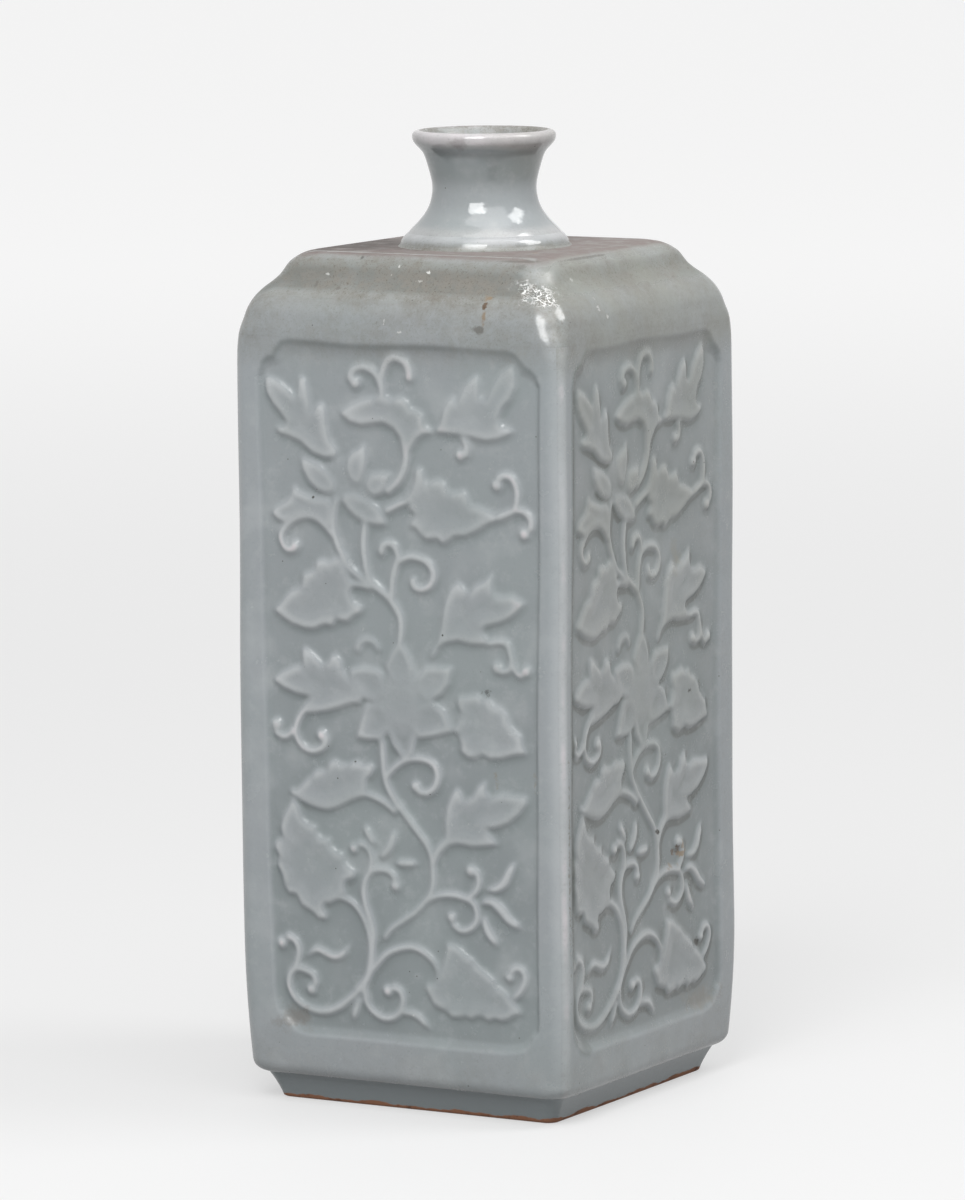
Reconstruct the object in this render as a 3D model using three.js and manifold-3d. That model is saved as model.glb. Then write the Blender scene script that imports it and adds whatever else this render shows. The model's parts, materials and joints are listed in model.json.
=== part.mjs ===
// Celadon vase: a square, slab-built bottle with a short waisted neck, an ogee shoulder,
// a sunken moulded panel on each wall and an inset foot.
// Millimetres, +Z up. The origin is the centre of the square that the foot stands on.
// The pieces are the ones that the potter makes and lutes together with slip before glazing.
import * as THREE from "three";
import { mergeVertices } from "three/addons/utils/BufferGeometryUtils.js";
import Module from "manifold-3d";

const wasm = await Module();
wasm.setup();

// Driving dimensions
const bodyHalf = 52; // half the width across two facing walls
const wallHeight = 207.8; // from the underside of the walls to the seam with the shoulder
const wallThickness = 6.5;
const edgeRadius = 6; // rounding of the four upright edges
const edgeSoftening = 0.25; // how much rounder the edges get for each millimetre drawn in
const lutingGap = 0.3; // the slip seam between two pieces
const baseTaper = 1.45; // how far the walls lean in at their foot
const baseTaperHeight = 38;
const baseRoundWidth = 2.4; // rounding under the walls' lower edge
const baseRoundHeight = 3.4;
const shoulderRise = 22.6; // from the walls' top to the deck
const shoulderInset = 14.8; // how far the deck's edge stands in from the walls
const deckThickness = 6.5;
const floorThickness = 6.5;
const neckHoleRadius = 14;
const neckHeight = 32; // from the deck's seam to the top of the lip
const neckWall = 4.2;
const waistRadius = 14.6; // outside of the neck at its narrowest
const lipRadius = 20.1; // outside of the mouth at its widest
const neckTenonRadius = 18.4; // the part of the neck that the ring goes round
const neckFlareRadius = 21.3; // where the neck's foot spreads over the ring
const ringRadius = 23.8; // outside of the ring round the neck's foot
const ringHeight = 3.6;
const footHeight = 7.8; // from the floor to the underside of the walls
const footInsetBottom = 7.8; // the standing edge stands in by this much from the walls
const footInsetTop = 4.8;
const footRim = 0.5; // rounding of the standing edge
const footStripWidth = 6.4; // width of the ring that the vase stands on
const footEdgeRadius = 4;
const coilSize = 5; // leg of the fillet of clay pressed into each inner corner
const coilHollow = 0.38; // how far the thumbed face of the fillet stands from the corner, as a share
const panelSideMargin = 7.5; // plain border beside each panel
const panelFootMargin = 12.7; // plain border under each panel
const panelHeadMargin = 1.4; // plain border over each panel
const panelDepth = 1.3;
const panelNotch = 6; // radius of the hollow cut from each corner of a panel
const panelDraft = 0.9; // how far the panel's step leans
const leafHeight = 1.05; // how far the leaves stand out of a panel's bed
const stemHeight = 0.9;
const stemWidth = 3; // a stem's width where it meets the bed
const stemTopWidth = 1.7;
const leafTopShare = 0.9; // a leaf's top, drawn in to this share of its outline
const mouldHalf = 44.5; // half the width of the mould that the flowers are drawn for
const mouldHeight = 193.7;

// Fineness of the rounded forms
const arcSteps = 6;
const curveSteps = 5;
const notchSteps = 4;
const roundSteps = 56;

// How each wall came out of the one mould: how far its flowers sit aside, and how wide they are
const pressings = {
  front: { turn: 0, shift: 0, stretch: 1 },
  right: { turn: 90, shift: -4, stretch: 0.96 },
  back: { turn: 180, shift: -0.8, stretch: 1 },
  left: { turn: 270, shift: -1.5, stretch: 0.97 },
};

// Heights and widths that follow
const bodyBottom = footHeight;
const wallTop = bodyBottom + wallHeight;
const deckHeight = wallTop + shoulderRise;
const ceiling = deckHeight - deckThickness;
const cavityHalf = bodyHalf - wallThickness;
const fittedHalf = cavityHalf - lutingGap; // half the width of a piece let in between the walls
const neckFoot = deckHeight + lutingGap;
const lipTop = neckFoot + neckHeight;
const ringTop = neckFoot + ringHeight;
const panelHalf = bodyHalf - panelSideMargin;
const panelLow = bodyBottom + panelFootMargin;
const panelHigh = wallTop - panelHeadMargin;
const panelBed = -bodyHalf + panelDepth; // where the front panel's bed lies
const beyond = 1; // how far a cutter passes the face that it opens

// Turns a three.js geometry into a manifold-3d solid.
function solidFrom(geometry) {
  const bare = geometry.clone();
  bare.deleteAttribute("normal");
  bare.deleteAttribute("uv");
  const merged = mergeVertices(bare, 1e-4);
  return new wasm.Manifold(
    new wasm.Mesh({
      numProp: 3,
      vertProperties: new Float32Array(merged.attributes.position.array),
      triVerts: new Uint32Array(merged.index.array),
    }),
  );
}

// Turns a manifold-3d solid into a three.js geometry with flat faces.
function geometryFrom(solid) {
  const mesh = solid.getMesh();
  const geometry = new THREE.BufferGeometry();
  geometry.setAttribute("position", new THREE.BufferAttribute(mesh.vertProperties, 3));
  geometry.setIndex(new THREE.BufferAttribute(mesh.triVerts, 1));
  const flat = geometry.toNonIndexed();
  flat.computeVertexNormals();
  return flat;
}

// The points of a square with rounded corners, anticlockwise seen from above.
function roundedSquare(half, radius) {
  const points = [];
  for (let corner = 0; corner < 4; corner++) {
    const start = (corner * Math.PI) / 2;
    const middle = start + Math.PI / 4;
    const centreX = Math.sign(Math.cos(middle)) * (half - radius);
    const centreY = Math.sign(Math.sin(middle)) * (half - radius);
    for (let i = 0; i <= arcSteps; i++) {
      const angle = start + (i / arcSteps) * (Math.PI / 2);
      points.push([centreX + radius * Math.cos(angle), centreY + radius * Math.sin(angle)]);
    }
  }
  return points;
}

// A closed solid through a stack of rounded squares: levels hold height, half width and corner radius.
function squareLoft(levels) {
  const rings = levels.map(([z, half, radius]) => roundedSquare(half, radius).map(([x, y]) => [x, y, z]));
  const count = rings[0].length;
  const index = [];
  for (let level = 0; level + 1 < rings.length; level++) {
    for (let i = 0; i < count; i++) {
      const next = (i + 1) % count;
      const low = level * count;
      const high = low + count;
      index.push(low + i, low + next, high + next, low + i, high + next, high + i);
    }
  }
  const top = (rings.length - 1) * count;
  for (let i = 1; i + 1 < count; i++) {
    index.push(0, i + 1, i);
    index.push(top, top + i, top + i + 1);
  }
  const geometry = new THREE.BufferGeometry();
  geometry.setAttribute("position", new THREE.Float32BufferAttribute(rings.flat(2), 3));
  geometry.setIndex(index);
  return solidFrom(geometry);
}

// A prism: a flat outline raised from one height to another.
function prism(points, low, high) {
  const shape = new THREE.Shape(points.map(([x, y]) => new THREE.Vector2(x, y)));
  const geometry = new THREE.ExtrudeGeometry(shape, { depth: high - low, bevelEnabled: false });
  geometry.translate(0, 0, low);
  return solidFrom(geometry);
}

// A turned piece: the outline runs once round the section, from the axis side outwards.
function turned(outline) {
  const lathe = new THREE.LatheGeometry([...outline, outline[0]], roundSteps);
  lathe.rotateX(Math.PI / 2);
  return solidFrom(lathe);
}

// The quarter of the plan that belongs to one wall, mitred at 45 degrees with half a seam to spare.
function mitreQuarter(turn, low, high) {
  const reach = 2 * bodyHalf;
  const apex = -lutingGap / Math.SQRT2;
  const quarter = prism([[0, apex], [-reach, apex - reach], [reach, apex - reach]], low, high);
  return quarter.rotate([0, 0, turn]);
}

// How far the walls stand in near their foot: a slow lean, and a rounding under the lower edge.
function footwardInset(rise) {
  const lean = Math.max(0, 1 - rise / baseTaperHeight) ** 2;
  const under = Math.max(0, 1 - rise / baseRoundHeight);
  return baseTaper * lean + baseRoundWidth * (1 - Math.sqrt(1 - under ** 2));
}

// The shoulder's ogee: a swelling, a shallow hollow and a round edge, as inset and height over the walls.
function shoulderOgee() {
  const at = (inset, rise) => [inset * shoulderInset, rise * shoulderRise];
  const line = new THREE.Path();
  line.moveTo(0, 0);
  line.quadraticCurveTo(...at(0, 0.38), ...at(0.45, 0.64));
  line.quadraticCurveTo(...at(0.525, 0.68), ...at(0.61, 0.79));
  line.quadraticCurveTo(...at(0.77, 1), ...at(1, 1));
  return line.getPoints(curveSteps);
}

// One level of the body's outside, where the upright edges get rounder as the form draws in.
function bodyLevel(z, inset) {
  return [z, bodyHalf - inset, edgeRadius + edgeSoftening * inset];
}

// The hollow body before it is cut into walls and shoulder.
function bodyShell() {
  const roundRises = [0, 0.06, 0.22, 0.55, 1].map((share) => share * baseRoundHeight);
  const leanRises = [0.2, 0.35, 0.6, 1].map((share) => share * baseTaperHeight);
  const outside = [
    ...[...roundRises, ...leanRises].map((rise) => bodyLevel(bodyBottom + rise, footwardInset(rise))),
    ...shoulderOgee().map((point) => bodyLevel(wallTop + point.y, point.x)),
  ];
  const hollowEdge = 1;
  const archRise = ceiling - wallTop;
  const inside = [
    [bodyBottom - beyond, cavityHalf, hollowEdge],
    [wallTop, cavityHalf, hollowEdge],
    [wallTop + 0.43 * archRise, cavityHalf - 0.05 * shoulderInset, hollowEdge],
    [wallTop + 0.68 * archRise, cavityHalf - 0.22 * shoulderInset, hollowEdge],
    [wallTop + 0.88 * archRise, cavityHalf - 0.5 * shoulderInset, hollowEdge],
    [ceiling, cavityHalf - 0.78 * shoulderInset, hollowEdge],
  ];
  return squareLoft(outside).subtract(squareLoft(inside));
}

// The outline of a sunken panel, in the wall's own plane, with a hollow notch at each corner.
function panelOutline(grow) {
  const right = panelHalf + grow;
  const left = -right;
  const low = panelLow - grow;
  const high = panelHigh + grow;
  const corners = [[left, low, 90], [right, low, 180], [right, high, 270], [left, high, 0]];
  const points = [];
  for (const [x, z, start] of corners) {
    for (let i = 0; i <= notchSteps; i++) {
      const angle = THREE.MathUtils.degToRad(start - (i / notchSteps) * 90);
      points.push([x + panelNotch * Math.cos(angle), z + panelNotch * Math.sin(angle)]);
    }
  }
  return points;
}

// A block between two outlines in the front wall's plane, which have as many points each.
function block(inner, innerY, outer, outerY) {
  const count = inner.length;
  const positions = [...inner.map(([x, z]) => [x, innerY, z]), ...outer.map(([x, z]) => [x, outerY, z])];
  const index = [];
  const flat = inner.map(([x, z]) => new THREE.Vector2(x, z));
  for (const [a, b, c] of THREE.ShapeUtils.triangulateShape(flat, [])) {
    index.push(a, c, b);
    index.push(count + a, count + b, count + c);
  }
  for (let i = 0; i < count; i++) {
    const next = (i + 1) % count;
    index.push(i, next, count + next, i, count + next, count + i);
  }
  const geometry = new THREE.BufferGeometry();
  geometry.setAttribute("position", new THREE.Float32BufferAttribute(positions.flat(), 3));
  geometry.setIndex(index);
  return solidFrom(geometry);
}

// The block that sinks one panel into the front wall, wider at the wall's surface than at its bed.
function panelCutter() {
  return block(panelOutline(0), panelBed, panelOutline(panelDraft * 2), -bodyHalf - panelDepth);
}

// The leaves, petals and buds, as outlines across the mould from its middle and up it from its foot,
// anticlockwise.
const leaves = [
  // crown leaf
  [
    [-17, 175], [-10, 172], [-3, 173], [2, 169], [2.5, 162], [5, 162], [7.5, 168.5], [13, 171],
    [10, 175.5], [5, 179], [-3, 181], [-10, 179],
  ],
  // top right leaf
  [
    [13.5, 171], [29.5, 169.5], [38.5, 172.5], [34, 175.5], [38, 181], [39, 190.5], [34, 188],
    [28, 181.5], [27, 187.5], [19.5, 181.5], [16, 177.5],
  ],
  // top left leaf
  [
    [-41, 184], [-40.5, 179.5], [-35, 172.5], [-38, 170], [-30, 166.5], [-24, 162.5],
    [-17.5, 163.5], [-20, 167.5], [-22.5, 177.5], [-26, 176], [-29, 185], [-31, 179.5],
  ],
  // upper flower, left petal
  [[-30, 162.5], [-27.5, 155.5], [-21, 152.5], [-18, 156], [-23.5, 161]],
  // upper flower, top petal
  [[-9, 167], [-15, 162.5], [-15, 157], [-10, 156], [-8.5, 163.5]],
  // upper flower, right petal
  [[-0.5, 159.5], [-9, 159], [-9, 153.5], [-4.5, 153]],
  // upper flower, low petal
  [[-17.5, 151.5], [-13, 146.5], [-2.5, 145], [-5.5, 150.5], [-13.5, 153.5]],
  // left stub leaf
  [
    [-39.5, 146], [-37.5, 144], [-31, 145.5], [-25, 145.5], [-19.5, 143], [-19.5, 150.5],
    [-29, 152.5], [-32, 154.5], [-33.5, 150.5],
  ],
  // upper shell leaf
  [
    [7.5, 161], [7, 156], [4.5, 149.5], [6.5, 143.5], [15, 140.5], [22.5, 143], [33, 148],
    [23, 155], [16, 158], [10.5, 157.5],
  ],
  // middle left leaf
  [[-39, 119], [-29, 114.5], [-20, 116], [-10, 122], [-16, 134.5], [-25, 134], [-30, 127]],
  // middle right leaf
  [
    [11, 108.5], [20, 113.5], [30.5, 114], [28.5, 117.5], [41.5, 125.5], [31.5, 128], [31, 133.5],
    [23.5, 128.5], [20, 130.5], [14.5, 117.5],
  ],
  // leaf beside the flower
  [
    [-39, 99.5], [-28, 95.5], [-30.5, 90.5], [-18, 93], [-10, 96.5], [-18.5, 108], [-23, 105.5],
    [-29.5, 109.5], [-30, 104.5],
  ],
  // right shell leaf
  [[19.5, 99], [20.5, 94], [17.5, 89.5], [20.5, 83.5], [30, 82], [41.5, 84], [36.5, 92], [30, 99]],
  // flag leaf
  [[-34, 68.5], [-22, 65], [-10, 70], [-7.5, 77.5], [-20, 79], [-25.5, 75.5]],
  // lower right leaf
  [
    [12.5, 52.5], [18, 57], [32, 58.5], [29, 62.5], [38, 66], [41.5, 72.5], [30, 72], [28.5, 76],
    [21.5, 70.5], [19, 73.5], [15, 63.5],
  ],
  // big left leaf
  [
    [-33.5, 67], [-37, 61], [-40, 52.5], [-38, 44.5], [-31.5, 36.5], [-23.5, 33.5], [-16.5, 41],
    [-13.5, 47.5], [-21.5, 56], [-28.5, 60],
  ],
  // low shell leaf
  [[15.5, 29.5], [12.5, 19.5], [8, 16], [16, 8.5], [30, 9], [38.5, 11.5], [31.5, 19], [24, 26]],
  // middle flower, upper left petal
  [[-5, 105], [-15, 104.5], [-12.5, 97.5], [-5, 93.5]],
  // middle flower, upper right petal
  [[8, 106.5], [8, 93.5], [16, 98.5], [18.5, 106.5]],
  // middle flower, lower left petal
  [[-9.5, 95], [-13, 85], [-4, 85], [0, 91.5]],
  // middle flower, lower right petal
  [[5, 87], [18.5, 88.5], [14, 96.5], [4, 96.5]],
  // middle flower, bottom petal
  [[-3, 89.5], [2, 79.5], [7, 89.5]],
  // middle flower, top petal
  [[-3.5, 102.5], [6.5, 102.5], [1.5, 114]],
  // middle flower, heart
  [[2, 104.5], [-5, 101], [-7, 95], [-3.5, 88.5], [2, 86.5], [8, 88.5], [11, 95], [8.5, 101.5]],
  // left buds
  [[-11, 61], [-10, 57], [-7, 55], [-8, 59]],
  [[-1, 60.5], [-4, 55.5], [-4.5, 52], [-1, 56]],
  [[-1, 51], [2.5, 49.5], [7, 51], [2.5, 52.5]],
  // right leaflets
  [[27.5, 45.5], [33, 46], [35.5, 49.5], [38, 54.5], [33, 49]],
  [[26, 41.5], [32.5, 38.5], [40, 35], [33, 42]],
  [[27, 39], [27.5, 34], [32, 29.5], [30, 34]],
];

// The stems, curls and scrolls, as paths on the same mould.
const stems = [
  // stem and curls of the crown leaf
  [[4, 167.5], [4, 163.5], [2.5, 159], [-2, 154.5]],
  [[-3, 180.5], [-3, 186.5], [0.5, 191], [4.5, 189.5], [5.5, 186]],
  [[-3.5, 183], [-7, 187.5], [-11.5, 187.5], [-13, 184]],
  // stems of the upper flower
  [[-18.5, 150.5], [-19.5, 142.5], [-16, 134.5], [-8, 128]],
  [[-9.5, 145], [-9.5, 135.5], [-6, 128]],
  [[-8, 128.5], [-2, 125], [1.5, 119.5], [1.5, 111.5]],
  // curls beside them
  [[-20, 142], [-27, 146], [-34, 143.5], [-36, 138.5], [-32.5, 136.5]],
  [[-1, 125.5], [0.5, 134.5], [5, 137], [10.5, 135], [12, 130], [7, 128]],
  [[0.5, 134], [-0.5, 139.5], [-4.5, 138]],
  // stem and curls of the upper shell leaf
  [[-2.5, 149], [2, 151], [6, 154]],
  [[33, 148.5], [38.5, 151.5], [39, 157], [35, 160.5], [32.5, 158]],
  [[38, 151], [43, 148.5], [41.5, 144.5]],
  // curls of the middle leaves
  [[29, 114], [35.5, 114], [37, 109], [33, 106.5]],
  [[36.5, 109], [41, 106]],
  [[-27, 94.5], [-31.5, 88.5], [-31, 82.5], [-26, 80.5], [-23, 84.5]],
  [[-32, 85.5], [-36, 84], [-38.5, 86.5]],
  // stem under the middle flower
  [[-4.5, 85.5], [-3.5, 73.5], [3, 64], [10, 55.5], [11, 44.5], [5.5, 37.5], [-4.5, 29.5]],
  [[-10.5, 69.5], [-6, 68.5], [-1, 65.5]],
  [[11, 50.5], [14.5, 58]],
  [[-3.5, 74.5], [2, 79.5], [9, 80.5], [13, 76], [9.5, 71.5], [6, 73]],
  // trunk and its scrolls
  [[-13.5, 14], [-9, 21.5], [-8, 30.5], [-11, 41.5], [-8, 48], [-2.5, 48], [-1, 44.5]],
  [[-9, 48], [-8.5, 53], [-13.5, 55]],
  [[-22.5, 38.5], [-15.5, 39], [-10, 31], [-9.5, 22.5]],
  [[-12, 15], [-20, 8.5], [-29, 7], [-36, 12.5], [-32.5, 18.5], [-27.5, 16], [-29, 13]],
  [[-34.5, 17.5], [-32.5, 23.5], [-37.5, 26.5]],
  [[-30, 22], [-25.5, 24.5], [-20.5, 23], [-15.5, 27.5]],
  [[-11.5, 14], [-9.5, 8.5], [-3, 6.5], [1, 12], [-3.5, 15]],
  [[0, 8.5], [5, 8], [10, 4]],
  // arch and the scrolls on the right
  [[-12, 15.5], [-6, 23], [3, 27.5], [10, 24.5], [12.5, 19.5]],
  [[9, 41], [17, 43.5], [24.5, 41], [24, 35], [18, 34.5]],
  [[23, 42.5], [26, 47.5], [23, 50.5]],
  [[36.5, 15.5], [40, 20.5], [35.5, 23]],
];

// An outline drawn in towards its middle.
function drawnIn(outline, share) {
  const middle = [0, 1].map((axis) => outline.reduce((sum, point) => sum + point[axis], 0) / outline.length);
  return outline.map((point) => point.map((value, axis) => middle[axis] + share * (value - middle[axis])));
}

// The outline of a stem: a band of one width along a curve through its path.
function band(path, width) {
  const curve = new THREE.SplineCurve(path.map(([x, z]) => new THREE.Vector2(x, z)));
  const steps = path.length;
  const right = [];
  const left = [];
  for (let i = 0; i <= steps; i++) {
    const place = curve.getPoint(i / steps);
    const along = curve.getTangent(i / steps).multiplyScalar(width / 2);
    right.push([place.x + along.y, place.y - along.x]);
    left.unshift([place.x - along.y, place.y + along.x]);
  }
  return [...right, ...left];
}

// The flowers of one front panel, standing on its bed and reaching a little into the wall.
function flowers(pressing) {
  const across = (pressing.stretch * panelHalf) / mouldHalf;
  const up = (panelHigh - panelLow) / mouldHeight;
  const onPanel = (outline) => outline.map(([x, z]) => [pressing.shift + across * x, panelLow + up * z]);
  const root = panelBed + beyond;
  const leafBlocks = leaves.map((outline) => {
    const top = onPanel(drawnIn(outline, leafTopShare));
    return block(onPanel(outline), root, top, panelBed - leafHeight);
  });
  const stemBlocks = stems.map((path) => {
    const top = onPanel(band(path, stemTopWidth));
    return block(onPanel(band(path, stemWidth)), root, top, panelBed - stemHeight);
  });
  return [...leafBlocks, ...stemBlocks].reduce((whole, part) => whole.add(part));
}

const shell = bodyShell();
const cutter = panelCutter();

// One slab of the body, from its mitres to the flowers in its sunken panel.
function wallSolid(pressing) {
  const quarter = mitreQuarter(0, bodyBottom - beyond, wallTop - lutingGap);
  const pressed = shell.subtract(cutter).add(flowers(pressing));
  return pressed.intersect(quarter).rotate([0, 0, pressing.turn]);
}

// The moulded top: the ogee shoulder and the deck, with the hole that the neck stands over.
function shoulderSolid() {
  const reach = bodyHalf + beyond;
  const plan = [[-reach, -reach], [reach, -reach], [reach, reach], [-reach, reach]];
  const above = prism(plan, wallTop, deckHeight + beyond);
  const hole = new THREE.CylinderGeometry(neckHoleRadius, neckHoleRadius, 2 * shoulderRise, roundSteps);
  hole.rotateX(Math.PI / 2).translate(0, 0, deckHeight);
  return shell.intersect(above).subtract(solidFrom(hole));
}

// The floor, cut to stand inside the four walls.
function floorSolid() {
  const floorEdge = 1;
  return squareLoft([
    [bodyBottom, fittedHalf, floorEdge],
    [bodyBottom + floorThickness, fittedHalf, floorEdge],
  ]);
}

// One of the four mitred strips that make the foot.
function footStripSolid(turn) {
  const top = bodyBottom - lutingGap;
  const bottomHalf = bodyHalf - footInsetBottom;
  const topHalf = bodyHalf - footInsetTop;
  const hollowHalf = bottomHalf - footStripWidth;
  const outside = squareLoft([
    [0, bottomHalf - footRim, footEdgeRadius],
    [footRim, bottomHalf, footEdgeRadius],
    [0.6 * top, bottomHalf + 0.5 * (topHalf - bottomHalf), footEdgeRadius],
    [top, topHalf, footEdgeRadius],
  ]);
  const hollowEdge = 0.5 * footEdgeRadius;
  const inside = squareLoft([[-beyond, hollowHalf, hollowEdge], [top + beyond, hollowHalf, hollowEdge]]);
  return outside.subtract(inside).intersect(mitreQuarter(turn, -beyond, bodyBottom));
}

// The fillet of soft clay pressed into the inside of one upright seam.
function cornerCoilSolid(turn) {
  const corner = -fittedHalf;
  const tip = corner + coilSize;
  const face = corner + coilHollow * coilSize;
  const outline = [[corner, corner], [tip, corner], [face, face], [corner, tip]];
  const low = bodyBottom + floorThickness + lutingGap;
  return prism(outline, low, wallTop - lutingGap).rotate([0, 0, turn]);
}

// The thrown neck: a flared mouth over a narrow waist, widening to a foot that spreads over the ring.
function neckSolid() {
  const at = (radius, share) => [radius, neckFoot + share * neckHeight];
  const underLip = waistRadius + 0.45 * (lipRadius - waistRadius);
  const lipInside = lipRadius - 0.5 * neckWall;
  const bore = waistRadius - neckWall;
  const section = new THREE.Path();
  section.moveTo(neckTenonRadius, neckFoot);
  section.lineTo(neckTenonRadius, ringTop + lutingGap);
  section.lineTo(neckFlareRadius, ringTop + lutingGap);
  section.quadraticCurveTo(...at(waistRadius, 0.31), ...at(waistRadius, 0.485));
  section.quadraticCurveTo(...at(waistRadius + 0.1, 0.65), ...at(underLip, 0.803));
  section.quadraticCurveTo(...at(lipRadius - 0.2, 0.885), ...at(lipRadius, 0.943));
  section.quadraticCurveTo(...at(lipRadius, 1), ...at(lipInside, 1));
  section.quadraticCurveTo(...at(bore + 1, 0.82), ...at(bore, 0.485));
  section.quadraticCurveTo(...at(bore, 0.2), neckHoleRadius, neckFoot);
  return turned(section.getPoints(curveSteps));
}

// The ring of clay luted round the neck's foot, over the seam with the deck.
function neckRingSolid() {
  const bore = neckTenonRadius + lutingGap;
  const section = new THREE.Path();
  section.moveTo(bore, neckFoot);
  section.lineTo(ringRadius, neckFoot);
  section.quadraticCurveTo(ringRadius - 0.6, ringTop - 1, neckFlareRadius, ringTop);
  section.lineTo(bore, ringTop);
  return turned(section.getPoints(curveSteps));
}

const glaze = new THREE.MeshStandardMaterial({ color: 0x98a0a1, roughness: 0.28, metalness: 0 });
const paleGlaze = new THREE.MeshStandardMaterial({ color: 0xa3a9a9, roughness: 0.25, metalness: 0 });
const biscuit = new THREE.MeshStandardMaterial({ color: 0x8a5a42, roughness: 0.85, metalness: 0 });
const bareClay = new THREE.MeshStandardMaterial({ color: 0xb4aca0, roughness: 0.9, metalness: 0 });

const vase = new THREE.Group();

// Adds one piece to the vase as a named mesh.
function add(name, solid, material) {
  const mesh = new THREE.Mesh(geometryFrom(solid), material);
  mesh.name = name;
  vase.add(mesh);
}

for (const [side, pressing] of Object.entries(pressings)) {
  add(`${side}_wall`, wallSolid(pressing), glaze);
  add(`${side}_foot_strip`, footStripSolid(pressing.turn), biscuit);
}
const corners = [["front_left", 0], ["front_right", 90], ["back_right", 180], ["back_left", 270]];
for (const [corner, turn] of corners) {
  add(`${corner}_seam_coil`, cornerCoilSolid(turn), bareClay);
}
add("floor_slab", floorSolid(), bareClay);
add("shoulder", shoulderSolid(), glaze);
add("neck_ring", neckRingSolid(), paleGlaze);
add("neck", neckSolid(), paleGlaze);

export default vase;
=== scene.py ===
"""A square, slab-built celadon bottle vase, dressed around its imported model.

Four press-moulded walls with scrolling flowers, an ogee shoulder, a thrown neck with a ring round
its foot, and four foot strips. Sizes are in millimetres in the classes and in metres in the meshes.
"""

from __future__ import annotations

import json
import logging
import math
from dataclasses import dataclass, field
from enum import Enum

import bpy
import numpy as np
from mathutils import Matrix, Vector

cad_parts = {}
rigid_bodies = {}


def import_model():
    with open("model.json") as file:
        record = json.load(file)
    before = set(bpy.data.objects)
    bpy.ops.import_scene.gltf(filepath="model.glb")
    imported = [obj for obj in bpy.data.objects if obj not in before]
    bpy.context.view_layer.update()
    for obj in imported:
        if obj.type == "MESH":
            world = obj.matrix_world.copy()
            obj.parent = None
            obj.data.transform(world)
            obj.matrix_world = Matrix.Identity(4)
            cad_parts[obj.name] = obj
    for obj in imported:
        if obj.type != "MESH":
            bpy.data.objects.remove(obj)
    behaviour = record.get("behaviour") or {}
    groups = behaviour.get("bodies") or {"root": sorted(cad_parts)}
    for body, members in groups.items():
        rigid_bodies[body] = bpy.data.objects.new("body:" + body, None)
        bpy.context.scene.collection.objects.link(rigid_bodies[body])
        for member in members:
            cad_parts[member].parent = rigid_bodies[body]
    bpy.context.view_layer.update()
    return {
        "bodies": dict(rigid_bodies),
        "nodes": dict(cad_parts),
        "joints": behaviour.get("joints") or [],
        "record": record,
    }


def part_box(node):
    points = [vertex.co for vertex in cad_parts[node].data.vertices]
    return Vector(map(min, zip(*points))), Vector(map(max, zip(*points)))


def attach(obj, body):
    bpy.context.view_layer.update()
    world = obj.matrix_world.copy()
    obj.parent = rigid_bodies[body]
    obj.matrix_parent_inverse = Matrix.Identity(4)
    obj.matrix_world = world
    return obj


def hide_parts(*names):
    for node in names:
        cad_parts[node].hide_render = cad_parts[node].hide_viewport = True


LOG = logging.getLogger("celadon_vase")
MM = 0.001
FLAT_SHARE = 0.9  # where a side's flat part ends, of its way from the middle to the mitre
MITRE_LINE = 0.999  # a last column just short of the mitre, so that its edge stays crisp
Point = tuple[float, float]
Triple = tuple[float, float, float]
Array = np.ndarray
Socket = bpy.types.NodeSocket


# Shaping helpers


def smoothstep(value: Array) -> Array:
    """Return the smooth step of a value clipped to the range from 0 to 1."""
    clipped = np.clip(value, 0.0, 1.0)
    return clipped * clipped * (3.0 - 2.0 * clipped)


def rising(value: Array, start: float, length: float) -> Array:
    """Return 0 up to the start, 1 past the length beyond it, and a smooth step between."""
    return smoothstep((value - start) / length)


def bell(value: Array, centre: float, width: float, power: int = 2) -> Array:
    """Return 1 at the centre, falling off to either side; a higher power has a flatter top."""
    return np.exp(-(((value - centre) / width) ** power))


def curve_through(path: tuple[Point, ...], spacing: float = 0.5) -> Array:
    """Lay points along a smooth curve through a path.

    Args:
        path: the points that the curve passes through, in millimetres.
        spacing: the largest distance between two points of the result.

    Returns:
        The points of the curve, one row each.
    """
    points = np.asarray(path, float)
    if len(points) == 2:
        return points
    before = 2 * points[0] - points[1]
    after = 2 * points[-1] - points[-2]
    control = np.vstack([before, points, after])
    pieces = []
    for a, b, c, d in zip(control[:-3], control[1:-2], control[2:-1], control[3:]):
        steps = max(2, math.ceil(np.linalg.norm(c - b) / spacing))
        t = np.arange(steps)[:, None] / steps
        linear = (c - a) * t
        square = (2 * a - 5 * b + 4 * c - d) * t**2
        cube = (3 * b - a - 3 * c + d) * t**3
        pieces.append(0.5 * (2 * b + linear + square + cube))
    return np.vstack([*pieces, points[-1:]])


def distance_to_line(x: Array, z: Array, points: Array, closed: bool) -> tuple[Array, Array]:
    """Measure how far each place is from a line of points.

    Args:
        x: the places' first coordinates.
        z: the places' second coordinates.
        points: the line's points, one row each.
        closed: whether the last point joins the first.

    Returns:
        The distances, and the share of the line's length at which each is reached.
    """
    ends = np.roll(points, -1, axis=0) if closed else points[1:]
    starts = points if closed else points[:-1]
    nearest = np.full(x.shape, np.inf)
    share = np.zeros(x.shape)
    for i, (start, end) in enumerate(zip(starts, ends)):
        run = end - start
        t = ((x - start[0]) * run[0] + (z - start[1]) * run[1]) / (run @ run)
        t = np.clip(t, 0.0, 1.0)
        distance = np.hypot(x - start[0] - t * run[0], z - start[1] - t * run[1])
        closer = distance < nearest
        nearest = np.where(closer, distance, nearest)
        share = np.where(closer, (i + t) / len(starts), share)
    return nearest, share


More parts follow.
